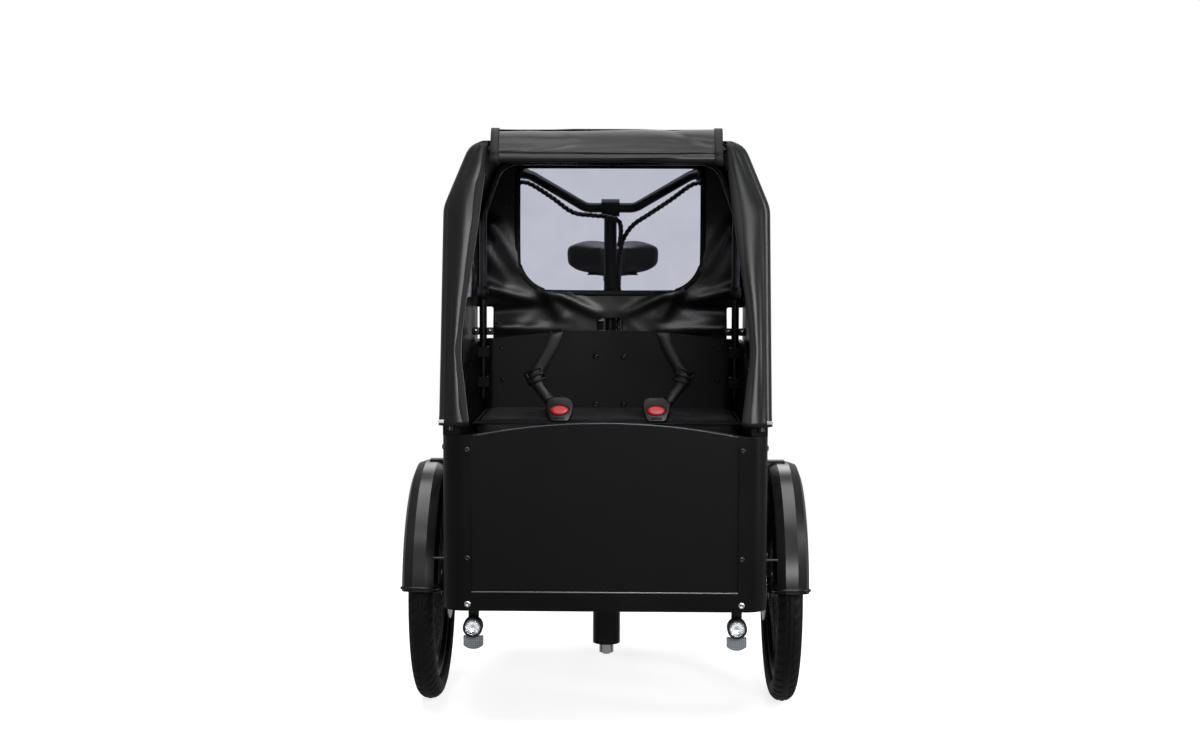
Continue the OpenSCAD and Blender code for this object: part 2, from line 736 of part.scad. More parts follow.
// Collar, pin and lower nut on which the box turns
module kingpin() {
    nut_h = 22;
    color("#b8b8ba") translate([0, axle_y, 0]) {
        translate([0, 0, head_top_z + seat_gap]) cylinder(h = 6 - seat_gap, d = head_tube_d - 5);
        translate([0, 0, head_tube_z - 10]) cylinder(h = head_top_z - head_tube_z + 12, d = kingpin_d);
        translate([0, 0, head_tube_z - nut_h]) cylinder(h = nut_h - seat_gap, d = kingpin_d + 6);
        translate([0, 0, head_tube_z - nut_h - 4]) cylinder(h = 6, d = 17);
    }
}

// Box

// Floor panel with a foot mat in front of the bench
mat_t = 3;
module box_floor() {
    mat_x = inner_x - 35;
    mat_y = front_y + wall_t + 35;
    color("#101011") {
        translate([-inner_x, front_y + wall_t, floor_z - panel_t])
            linear_extrude(panel_t) rounded_square([2 * inner_x, box_l - 2 * wall_t], corner_r - wall_t + 1);
        translate([-mat_x, mat_y, floor_z - 1]) linear_extrude(mat_t + 1)
            rounded_square([2 * mat_x, bench_front_y - 25 - mat_y], 20);
    }
}

// Panel outline with an arched top
module arched_outline(top_z, rise) {
    r = (panel_x * panel_x + rise * rise) / rise / 2;
    intersection() {
        translate([-panel_x, floor_z]) square([2 * panel_x, top_z + rise - floor_z]);
        translate([0, top_z + rise - r]) circle(r, $fn = 256);
    }
}
module box_front() {
    color("#0e0e0f") xz_plate(front_y + profile_t, front_y + wall_t) arched_outline(front_top_z, front_rise);
}
module box_back() {
    color("#121213") xz_plate(box_back_y - wall_t, box_back_y - profile_t) arched_outline(back_top_z, back_rise);
}

// Side panels whose top edge climbs in a smooth curve to the rear corners
side_rise = [front_y + 80, front_y + 680];
function ease(u) = let (v = min(1, max(0, u))) v * v * (3 - 2 * v);
function side_top_z(y) = front_top_z + (back_top_z - front_top_z) * ease((y - side_rise[0]) / (side_rise[1] - side_rise[0]));
module box_sides() {
    y0 = front_y + corner_r;
    y1 = box_back_y - corner_r;
    color("#0f0f10") for (side = [0, 1]) mirror([side, 0, 0])
        yz_plate(inner_x, box_w / 2 - profile_t) polygon(concat(
            [[y1, floor_z], [y0, floor_z]],
            [for (k = [0 : 24]) let (y = y0 + (y1 - y0) * k / 24) [y, side_top_z(y)]]
        ));
}

// Rounded corner profile, with its corner at the origin and its legs along +X and +Y
module corner_outline() {
    translate([corner_r, corner_r]) intersection() {
        difference() {
            circle(corner_r);
            circle(corner_r - wall_t);
        }
        translate([-corner_r, -corner_r]) square(corner_r);
    }
    translate([corner_r, 0]) square([profile_leg - corner_r, profile_t]);
    translate([0, corner_r]) square([profile_t, profile_leg - corner_r]);
}
module corner_posts() {
    color("#19191a") for (side = [0, 1]) mirror([side, 0, 0]) {
        translate([-box_w / 2, front_y, box_z]) linear_extrude(front_top_z - box_z) corner_outline();
        translate([-box_w / 2, box_back_y, box_z]) mirror([0, 1, 0]) linear_extrude(back_top_z - box_z) corner_outline();
    }
}

// Bottom rail between the corner profiles: a face strip and the strip behind it
module bottom_rails() {
    strip_x = box_w / 2 - profile_leg;
    strip_y = [front_y + profile_leg, box_back_y - profile_leg];
    color("#1c1c1d") {
        for (y = [front_y, box_back_y - wall_t]) {
            outer_y = y == front_y ? y : y + panel_t;
            inner_y = y == front_y ? y + profile_t : y;
            block([-strip_x, outer_y, box_z], [strip_x, outer_y + profile_t, floor_z]);
            block([-panel_x, inner_y, box_z], [panel_x, inner_y + panel_t, floor_z]);
        }
        both_sides() {
            block([box_w / 2 - profile_t, strip_y[0], box_z], [box_w / 2, strip_y[1], floor_z]);
            block([inner_x, front_y + corner_r, box_z], [box_w / 2 - profile_t, box_back_y - corner_r, floor_z]);
        }
    }
}

// Bench board on a front board, across the rear half of the box
board_z = seat_z - cushion_t;
module bench() {
    color("#131314") {
        translate([-inner_x + 0.2, bench_front_y, board_z - panel_t]) linear_extrude(panel_t)
            rounded_square([2 * inner_x - 0.4, bench_l - 0.2], corner_r - wall_t + 1);
        block([-inner_x + 40, bench_front_y, floor_z], [inner_x - 40, bench_front_y + panel_t, board_z - panel_t + 1]);
    }
}
module cushion() {
    color("#1d1d20") translate([-inner_x + 3, bench_front_y + 2, board_z + 0.1]) linear_extrude(cushion_t - 0.1)
        rounded_square([2 * inner_x - 6, bench_l - 6], corner_r - wall_t + 1);
}

// Front wheel fittings

front_guard_r = front_tyre_d / 2 + guard_gap + guard_t;
module front_mudguard() {
    half = front_guard_w / 2;
    r = front_guard_r;
    side_x = box_w / 2 - profile_t;
    axle = [wheel_x, axle_y, axle_z];
    arc_about_x(axle, 7, 182) polygon([
        [r, -13], [r, 13], [r - 6, half - 7], [r - 24, half], [r - 24, half - 3], [r - 8, half - 9.5],
        [r - 3, 12], [r - 3, -12], [r - 8, 9.5 - half], [r - 24, 3 - half], [r - 24, -half], [r - 6, 7 - half]
    ]);
    // Bracket over the top, and a stay near each end
    block([side_x, axle_y - 22, axle_z + r - 40], [side_x + 4, axle_y + 22, axle_z + r + 4]);
    block([side_x, axle_y - 14, axle_z + r - 1.5], [wheel_x + 6, axle_y + 14, axle_z + r + 4]);
    for (a = [22, 163]) {
        at = axle + (r - 7) * [0, -cos(a), sin(a)];
        cross_rod(side_x, wheel_x - half + 9, at, 6);
        cross_rod(side_x, side_x + 4, at, 22);
    }
}
module front_mudguards() {
    color("#202022") both_sides() front_mudguard();
}

// Calipers over the brake discs, on plates that stand on the beam's ends
module brake_calipers() {
    disc_r = brake_disc_d / 2;
    inner = front_hub_l / 2 + 7;
    color("#3a3a3d") both_sides() translate([wheel_x, axle_y, axle_z]) difference() {
        union() {
            rotate([45, 0, 0]) block([-inner, -22, disc_r - 22], [-inner + 23, 22, disc_r + 12]);
            yz_plate(-inner - 4, -inner) polygon([
                [-6, beam.y / 2], [beam.x / 2, beam.y / 2], [-disc_r * sin(45) + 24, disc_r * sin(45) + 20],
                [-disc_r * sin(45) - 14, disc_r * sin(45) - 16]
            ]);
        }
        rotate([0, 90, 0]) translate([0, 0, -disc_x - 2.5]) cylinder(h = 5, r = disc_r + 2);
    }
}

lamp_x = box_w / 2 - 56;
lamp_d = 41;
lamp_y = front_y + 75;
lamp_z = axle_z - 32;
lens_d = 33;
module headlamp() {
    difference() {
        union() {
            translate([lamp_x, lamp_y, lamp_z]) rotate([-90, 0, 0]) rotate_extrude() polygon([
                [0, 0], [lamp_d / 2, 0], [lamp_d / 2, 26], [lamp_d / 2 - 7, 44], [0, 44]
            ]);
            block([lamp_x - 11, lamp_y + 26, lamp_z - 48], [lamp_x + 11, lamp_y + 30, beam_top_z]);
            block([lamp_x - 11, lamp_y + 26, beam_top_z - 4], [lamp_x + 11, lamp_y + 48, beam_top_z]);
        }
        translate([lamp_x, lamp_y - 1, lamp_z]) rotate([-90, 0, 0]) cylinder(h = 11, d = lens_d + 2 * seat_gap);
    }
}
module headlamps() {
    color("#161617") both_sides() headlamp();
}
module lamp_lenses() {
    color("#e6e8ea") both_sides() translate([lamp_x, lamp_y + 3, lamp_z]) rotate([-90, 0, 0]) cylinder(h = 7, d = lens_d);
}

// Prism reflector below each lamp, flat on top and round below
module reflectors() {
    w = lamp_d;
    color("#9aa0ab") both_sides() xz_plate(lamp_y + 16, lamp_y + 26) translate([lamp_x, lamp_z - lamp_d / 2 - 1]) {
        translate([-w / 2, -12]) square([w, 12]);
        intersection() {
            translate([-w / 2, -28]) square([w, 17]);
            translate([0, 3]) circle(30);
        }
    }
}

// Handlebar

module handlebar_post() {
    color("#141415") difference() {
        union() {
            translate([0, post_y, bracket_zs[1] - 30]) cylinder(h = bar_z - bracket_zs[1] + 30, d = post_d);
            cross_rod(-23, 23, bar, bar_d + 20);
            for (z = bracket_zs) {
                block([-50, back_panel_y, z - 24], [50, back_panel_y + 6, z + 24]);
                block([-13, back_panel_y, z - 20], [13, post_y, z + 20]);
            }
        }
        cross_rod(-30, 30, bar, bar_d + 2 * run_gap);
    }
}
function bar_point(i, side) = bar + [side * bar_steps[i].x, bar_steps[i].y, bar_steps[i].z];
bar_last = len(bar_steps) - 1;
module handlebar() {
    color("#1a1a1b") pipe(concat(
        [for (i = [bar_last : -1 : 1]) bar_point(i, -1)],
        [for (i = [1 : bar_last]) bar_point(i, 1)]
    ), 45, bar_d);
}
grip_dir = unit(bar_steps[bar_last] - bar_steps[bar_last - 1]);
grip_end = bar + bar_steps[bar_last];
module grips() {
    color("#1b1b1d") both_sides() difference() {
        rod(grip_end - grip_dir * grip_l, grip_end + grip_dir * 3, grip_d);
        rod(grip_end - grip_dir * (grip_l + 1), grip_end, bar_d + 2 * run_gap);
    }
}
// Brake lever beside each grip: X runs along the grip, Y away from it and Z along the lever's pin
lever_at = grip_end - grip_dir * (grip_l + 1);
lever_out = unit(cross(grip_dir, [0, 0, 1]));
lever_pin = cross(grip_dir, lever_out);
lever_pivot_off = bar_d / 2 + 18;
lever_pivot = lever_at - grip_dir * 8 + lever_out * lever_pivot_off;
lever_pin_d = 6;
lever_t = 6;
module on_lever() {
    g = grip_dir;
    o = lever_out;
    n = lever_pin;
    multmatrix([
        [g.x, o.x, n.x, lever_pivot.x], [g.y, o.y, n.y, lever_pivot.y], [g.z, o.z, n.z, lever_pivot.z], [0, 0, 0, 1]
    ]) children();
}
module lever_clamp() {
    difference() {
        union() {
            rod(lever_at - grip_dir * 16, lever_at, bar_d + 12);
            on_lever() {
                translate([0, 0, -lever_t - 1]) linear_extrude(lever_t) {
                    circle(8);
                    translate([-7, -lever_pivot_off]) square([14, lever_pivot_off]);
                }
                translate([0, 0, -2]) cylinder(h = lever_t + 5, d = lever_pin_d);
                translate([0, 0, lever_t + 0.5]) cylinder(h = 3, d = lever_pin_d + 5);
            }
        }
        rod(lever_at - grip_dir * 40, lever_at + grip_dir * 10, bar_d + 2 * run_gap);
    }
}
module brake_lever() {
    reach = grip_l - 12;
    on_lever() linear_extrude(lever_t) difference() {
        union() {
            circle(9);
            polygon([[0, -8], [reach * 0.5, 1], [reach, 11], [reach, 23], [reach * 0.5, 14], [0, 8]]);
            translate([reach, 17]) circle(8);
        }
        circle(d = lever_pin_d + 2 * run_gap);
    }
}
module brake_lever_left() {
    color("#242426") brake_lever();
}
module brake_lever_right() {
    color("#242426") mirror([1, 0, 0]) brake_lever();
}

// Small display on a ring round the left half of the bar
module display() {
    along = unit(bar_steps[3] - bar_steps[2]);
    at = bar + bar_steps[2] + along * 24;
    face = at + unit([0, 0, 1] - along * along.z) * 25;
    difference() {
        union() {
            rod(at - along * 7, at + along * 7, bar_d + 10);
            rod(at, face, 10);
            translate(face) rotate([-25, 0, 0]) translate([-34, -9, -8]) cube([46, 18, 20]);
        }
        rod(at - along * 30, at + along * 30, bar_d + 2 * run_gap);
    }
}
module bar_fittings() {
    color("#232326") {
        both_sides() lever_clamp();
        display();
    }
}

// Two wrapped cable bundles from the bar's ends to the post, and one run down to the back panel
module cables() {
    d = 11;
    off = bar_d / 2 + d / 2 + seat_gap;
    side_x = post_d / 2 + d / 2 + seat_gap;
    section = round_section(d, 8);
    gland_z = bracket_zs[0] + 45;
    left = [
        bar + [-236, -8, 62], bar + [-206, -off, 60], bar + [-150, -off - 4, 26], bar + [-96, -off - 8, -12],
        bar + [-46, -off - 9, -20], bar + [-4, -off - 10, -24], bar + [22, -off - 8, -36],
        bar + [side_x + 5, -off + 6, -62], bar + [side_x + 1, -6, -98]
    ];
    right = [
        bar + [236, -8, 62], bar + [206, -off, 58], bar + [150, -off - 4, 18], bar + [96, -off - 4, -18],
        bar + [58, -off + 6, -44], bar + [side_x + 12, -6, -78], bar + [side_x + 4, -2, -112], bar + [side_x, 0, -150],
        bar + [side_x, 0, -240], bar + [side_x, 0, gland_z - bar_z + 60],
        bar + [side_x, -2, gland_z - bar_z + 16], bar + [side_x, -2, gland_z - bar_z - 40]
    ];
    color("#111112") {
        sweep(right, section, [0, 1, 0.02]);
    }
    color("#111112") sweep(left, section, [0, 1, 0.02]);
}

// Canopy

// Frame of the leaning front: X across, Y into the cloth and Z up along the lean
module on_front() {
    translate([0, front_y + 16, front_top_z]) rotate([-front_lean, 0, 0]) children();
}
function up_front(z) = (z - front_top_z) / cos(front_lean);
module ahead_of_front() {
    on_front() translate([-box_w, -400, -300]) cube([2 * box_w, 400, 1600]);
}

hoop_top_z = roof_z - cloth_t - seat_gap - hoop_d / 2;
function hoop_front_y(z) = lean_y(z) + (cloth_t + 3 * seat_gap + hoop_d / 2) / cos(front_lean);
function hoop_front_point(x, z) = [x, hoop_front_y(z), z];
leg_foot_z = front_top_z + 8;
hoop_shoulder_x = shoulder_x - cloth_t - hoop_d / 2 - 12;
hoop_roof_x = roof_x - 22;
clamp_zs = [back_top_z - 96, back_top_z - 24];
module canopy_hoops() {
    front_half = [
        hoop_front_point(hoop_front_x, leg_foot_z), hoop_front_point(hoop_shoulder_x, shoulder_z),
        hoop_front_point(hoop_roof_x, hoop_top_z)
    ];
    rear_half = [
        [hoop_rear_x, hoop_rear_y, clamp_zs[0] - 40], [hoop_rear_x, hoop_rear_y, shoulder_z],
        [hoop_roof_x, hoop_rear_y, hoop_top_z]
    ];
    color("#1b1b1c") for (half = [front_half, rear_half])
        pipe(concat(half, [for (i = [len(half) - 1 : -1 : 0]) [-half[i].x, half[i].y, half[i].z]]), 60, hoop_d);
}

// Sockets on the front corner posts, and clamps on the side panels for the rear hoop
module hoop_feet() {
    foot_y = lean_y(foot_top_z + 12) + cloth_t + 4;
    color("#202021") both_sides() {
        difference() {
            block([box_w / 2 - 34, foot_y, front_top_z], [box_w / 2 - 1, front_y + profile_leg - 2, foot_top_z + 10]);
            rod(hoop_front_point(hoop_front_x, leg_foot_z), hoop_front_point(hoop_shoulder_x, shoulder_z), hoop_d + 2 * seat_gap);
        }
        for (z = clamp_zs) difference() {
            block([hoop_rear_x - hoop_d / 2 - 5, hoop_rear_y - 17, z - 12], [inner_x, hoop_rear_y + 17, z + 12]);
            translate([hoop_rear_x, hoop_rear_y, z - 20]) cylinder(h = 40, d = hoop_d + 2 * seat_gap);
        }
    }
}

module canopy_roof() {
    inner_shoulder = shoulder_x - cloth_t * 1.08;
    inner_roof = roof_x - cloth_t * 0.72;
    color("#1d1d1f") difference() {
        xz_plate(front_y, canopy_back_y) polygon([
            [-shoulder_x, shoulder_z], [-roof_x, roof_z], [roof_x, roof_z], [shoulder_x, shoulder_z],
            [inner_shoulder, shoulder_z], [inner_roof, roof_z - cloth_t], [-inner_roof, roof_z - cloth_t],
            [-inner_shoulder, shoulder_z]
        ]);
        ahead_of_front();
    }
}

// Windows in the side walls and the back wall
side_window = [[front_y + 300, hem_z + 150], [box_back_y - 110, shoulder_z - 60]];
side_window_r = 60;
module side_window_outline(inset) {
    translate([side_window[0].x + inset, side_window[0].y + inset]) rounded_square(
        side_window[1] - side_window[0] - [2 * inset, 2 * inset], side_window_r - inset
    );
}
module canopy_sides() {
    color("#1a1a1c") both_sides() yz_plate(shoulder_x - cloth_t, shoulder_x) difference() {
        polygon([
            [lean_y(hem_z), hem_z], [canopy_back_y, hem_z], [canopy_back_y, shoulder_z], [lean_y(shoulder_z), shoulder_z]
        ]);
        side_window_outline(0);
    }
}
back_window_x = roof_x - 50;
back_window = [[-back_window_x, back_top_z + 116], [back_window_x, roof_z - 18]];
back_window_r = 104;
module back_window_outline(inset) {
    translate(back_window[0] + [inset, inset]) rounded_square(
        back_window[1] - back_window[0] - [2 * inset, 2 * inset], back_window_r - inset
    );
}
back_hem_z = back_top_z - 12;
module canopy_back() {
    side_x = shoulder_x - cloth_t - seat_gap;
    top_x = roof_x - cloth_t;
    notch_x = post_d / 2 + 15;
    color("#19191b") xz_plate(canopy_back_y - cloth_t, canopy_back_y) difference() {
        polygon([
            [-notch_x, back_hem_z], [-notch_x, back_hem_z + 50], [notch_x, back_hem_z + 50], [notch_x, back_hem_z],
            [side_x - 38, back_hem_z], [side_x - 38, back_hem_z + 84], [side_x, back_hem_z + 110],
            [side_x, shoulder_z - 2], [top_x, roof_z - cloth_t - seat_gap], [-top_x, roof_z - cloth_t - seat_gap],
            [-side_x, shoulder_z - 2], [-side_x, back_hem_z + 110], [38 - side_x, back_hem_z + 84],
            [38 - side_x, back_hem_z]
        ]);
        back_window_outline(0);
    }
}
module windows() {
    color("#c2c5d0") {
        both_sides() yz_plate(shoulder_x - cloth_t + 1, shoulder_x - cloth_t + 2) side_window_outline(seat_gap);
        xz_plate(canopy_back_y - cloth_t + 1, canopy_back_y - cloth_t + 2) back_window_outline(seat_gap);
    }
}

// Cloth wings left and right of the rolled-up front
module canopy_wings() {
    side_x = shoulder_x - cloth_t - seat_gap;
    top_x = roof_x - cloth_t - 2;
    color("#1b1b1d") both_sides() on_front() xz_plate(0.2, cloth_t + 0.2) polygon([
        [side_x, up_front(hem_z)], [side_x, up_front(shoulder_z - 4)], [top_x, up_front(roof_z - cloth_t - 2)],
        [roll_x + 8, up_front(roof_z - cloth_t - 2)], [roll_x + 12, up_front(roof_z - 53)],
        [roll_x + 32, up_front(shoulder_z - 67)], [roll_x + 50, up_front(hem_z + 252)],
        [roll_x + 60, up_front(hem_z + 152)], [roll_x + 40, up_front(hem_z)]
    ]);
}

// Rolled-up front cloth with the flap that joins it to the roof
module canopy_roll() {
    size = [44, 77];
    roll_z = roof_z - 53;
    roll_y = lean_y(roll_z) - size.x - seat_gap;
    color("#1f1f21") {
        yz_plate(-roll_x, roll_x) translate([roll_y, roll_z]) rounded_square(size, 21);
        block([-roll_x, roll_y + 20, roof_z + 0.2], [roll_x, lean_y(roof_z) + 36, roof_z + 3]);
    }
}

// Harness: a strap over the back panel to a buckle on each seat

strap_w = 34;
strap_t = 2;
buckle = [113, bench_front_y + 40, seat_z + strap_t + 0.2];
// Band of a given width along points, mitred at each turn
function band_side(p, i, w) = let (
    a = unit(p[max(i, 1)] - p[max(i - 1, 0)]),
    b = unit(p[min(i + 1, len(p) - 1)] - p[min(i, len(p) - 2)]),
    m = unit([-a.y - b.y, a.x + b.x])
) m * w / 2 / (m * [-a.y, a.x]);
module band(p, w) {
    last = len(p) - 1;
    polygon(concat(
        [for (i = [0 : last]) p[i] + band_side(p, i, w)],
        [for (i = [last : -1 : 0]) p[i] - band_side(p, i, w)]
    ));
}
module harness_straps() {
    top_z = back_top_z + back_rise - 1.5;
    face_y = bench_back_y - 0.1;
    back_y = back_panel_y + 0.2;
    start_x = buckle.x + 20;
    end_x = buckle.x + 4;
    low_z = seat_z + 0.1;
    color("#151517") both_sides() {
        xz_plate(face_y - strap_t, face_y) band([
            [start_x, top_z + strap_t], [start_x, top_z - 24], [start_x + 14, top_z - 60], [start_x + 55, top_z - 112],
            [end_x, low_z + 48], [end_x, low_z]
        ], strap_w);
        block([start_x - strap_w / 2, face_y - strap_t, top_z], [start_x + strap_w / 2, back_y + strap_t, top_z + strap_t]);
        block([start_x - strap_w / 2, back_y, top_z - 40], [start_x + strap_w / 2, back_y + strap_t, top_z + strap_t]);
        translate([0, 0, low_z]) linear_extrude(strap_t) band([
            [end_x, face_y], [end_x, face_y - 60], [buckle.x, buckle.y + 40], [buckle.x, buckle.y]
        ], strap_w);
    }
}
module harness_buckles() {
    color("#1a1a1b") both_sides() translate(buckle) {
        xz_plate(-9, 9) polygon([[-22, 0], [22, 0], [26, 8], [26, 30], [15, 46], [-15, 46], [-26, 30], [-26, 8]]);
    }
}

front_tyre_left();
front_rim_left();
front_hub_left();
front_disc_left();
front_tyre_right();
front_rim_right();
front_hub_right();
front_disc_right();
rear_tyre();
rear_rim();
rear_hub_motor();
rear_sprocket();
frame();
chain_stays();
seat_stays();
rear_axle();
seat_post();
saddle();
saddle_springs();
carrier();
battery();
rear_mudguard();
rear_lamp();
chain();
chain_guard();
crankset();
pedal_left();
pedal_right();
subframe();
kingpin();
box_floor();
box_front();
box_sides();
box_back();
corner_posts();
bottom_rails();
bench();
cushion();
front_mudguards();
brake_calipers();
headlamps();
lamp_lenses();
reflectors();
handlebar_post();
handlebar();
grips();
bar_fittings();
brake_lever_left();
brake_lever_right();
cables();
canopy_hoops();
hoop_feet();
canopy_roof();
canopy_sides();
canopy_back();
canopy_wings();
canopy_roll();
windows();
harness_straps();
harness_buckles();
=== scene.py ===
"""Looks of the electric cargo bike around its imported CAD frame: cloth, pads, webbing, tyres and finishes."""

from __future__ import annotations

import logging
import math
from dataclasses import dataclass, field
from enum import Enum
from typing import Any, Callable, Iterable, Sequence

import bmesh
import bpy
import numpy as np
from mathutils import Matrix, Vector

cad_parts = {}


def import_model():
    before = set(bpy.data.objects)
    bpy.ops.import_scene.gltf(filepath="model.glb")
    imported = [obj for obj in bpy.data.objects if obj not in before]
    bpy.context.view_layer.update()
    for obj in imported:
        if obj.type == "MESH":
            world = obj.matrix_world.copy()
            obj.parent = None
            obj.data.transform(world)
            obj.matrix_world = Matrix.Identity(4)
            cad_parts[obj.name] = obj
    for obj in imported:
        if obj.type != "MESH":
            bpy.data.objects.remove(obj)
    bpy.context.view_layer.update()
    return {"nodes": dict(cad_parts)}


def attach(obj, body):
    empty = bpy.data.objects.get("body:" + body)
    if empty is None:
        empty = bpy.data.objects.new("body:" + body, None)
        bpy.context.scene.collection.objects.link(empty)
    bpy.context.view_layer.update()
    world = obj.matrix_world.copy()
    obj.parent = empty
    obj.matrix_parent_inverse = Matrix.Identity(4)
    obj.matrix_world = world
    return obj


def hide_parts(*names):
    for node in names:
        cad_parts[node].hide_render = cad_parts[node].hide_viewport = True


log = logging.getLogger("cargo_bike")
MM = 0.001
SIDES = (-1, 1)
Point = Sequence[float]
Outline = Sequence[tuple[float, float]]
Section = Callable[[float, float], Outline]


class Body(str, Enum):
    """Names of the CAD bodies that pieces ride on."""

    BOX = "cargo_box"
    SEAT = "seat"
    WHEEL_LEFT = "wheel_front_left"
    WHEEL_RIGHT = "wheel_front_right"
    WHEEL_REAR = "wheel_rear"


# Finishes

# Sizes of the marks that every finish shares: handling and dust, and the slack of a coated cloth.
HAND_MARK_MM = 110.0
SLACK_MM = 70.0
# Blender's wave texture repeats after this length at a scale of one.
WAVE_PERIOD = 2 * math.pi / 20


def linear(hex_colour: str) -> tuple[float, float, float, float]:
    """Turns an sRGB hex value to linear colour.

    Args:
        hex_colour: Six hex digits with a leading hash.

    Returns:
        Red, green, blue and alpha, linear.
    """
    channels = [int(hex_colour[i : i + 2], 16) / 255 for i in (1, 3, 5)]
    lin = [c / 12.92 if c <= 0.04045 else ((c + 0.055) / 1.055) ** 2.4 for c in channels]
    return (lin[0], lin[1], lin[2], 1.0)


def per_metre(size_mm: float) -> float:
    """Texture scale at which one cell is size_mm wide, for coordinates in metres."""
    return 1000.0 / size_mm


def add_node(
    tree: bpy.types.NodeTree, kind: str, settings: dict[str, Any] | None = None, **links: Any
) -> bpy.types.Node:
    """Adds a node, sets its properties, and sets or links its inputs.

    Args:
        tree: Node tree to add to.
        kind: Blender's node type.
        settings: Properties of the node itself.
        links: Input name with underscores for spaces, or i and the input's number, to a value or a socket.

    Returns:
        The new node.
    """
    node = tree.nodes.new(kind)
    for key, value in (settings or {}).items():
        setattr(node, key, value)
    for key, value in links.items():
        numbered = key[0] == "i" and key[1:].isdigit()
        socket = node.inputs[int(key[1:])] if numbered else node.inputs[key.replace("_", " ")]
        if isinstance(value, bpy.types.NodeSocket):
            tree.links.new(value, socket)
        else:
            socket.default_value = value
    return node


class Pattern(Enum):
    """Surface patterns that a finish can carry."""

    PLAIN = "plain"
    PEEL = "peel"
    GRAIN = "grain"
    WEAVE = "weave"
    LEATHER = "leather"
    BRUSHED = "brushed"
    PRISM = "prism"


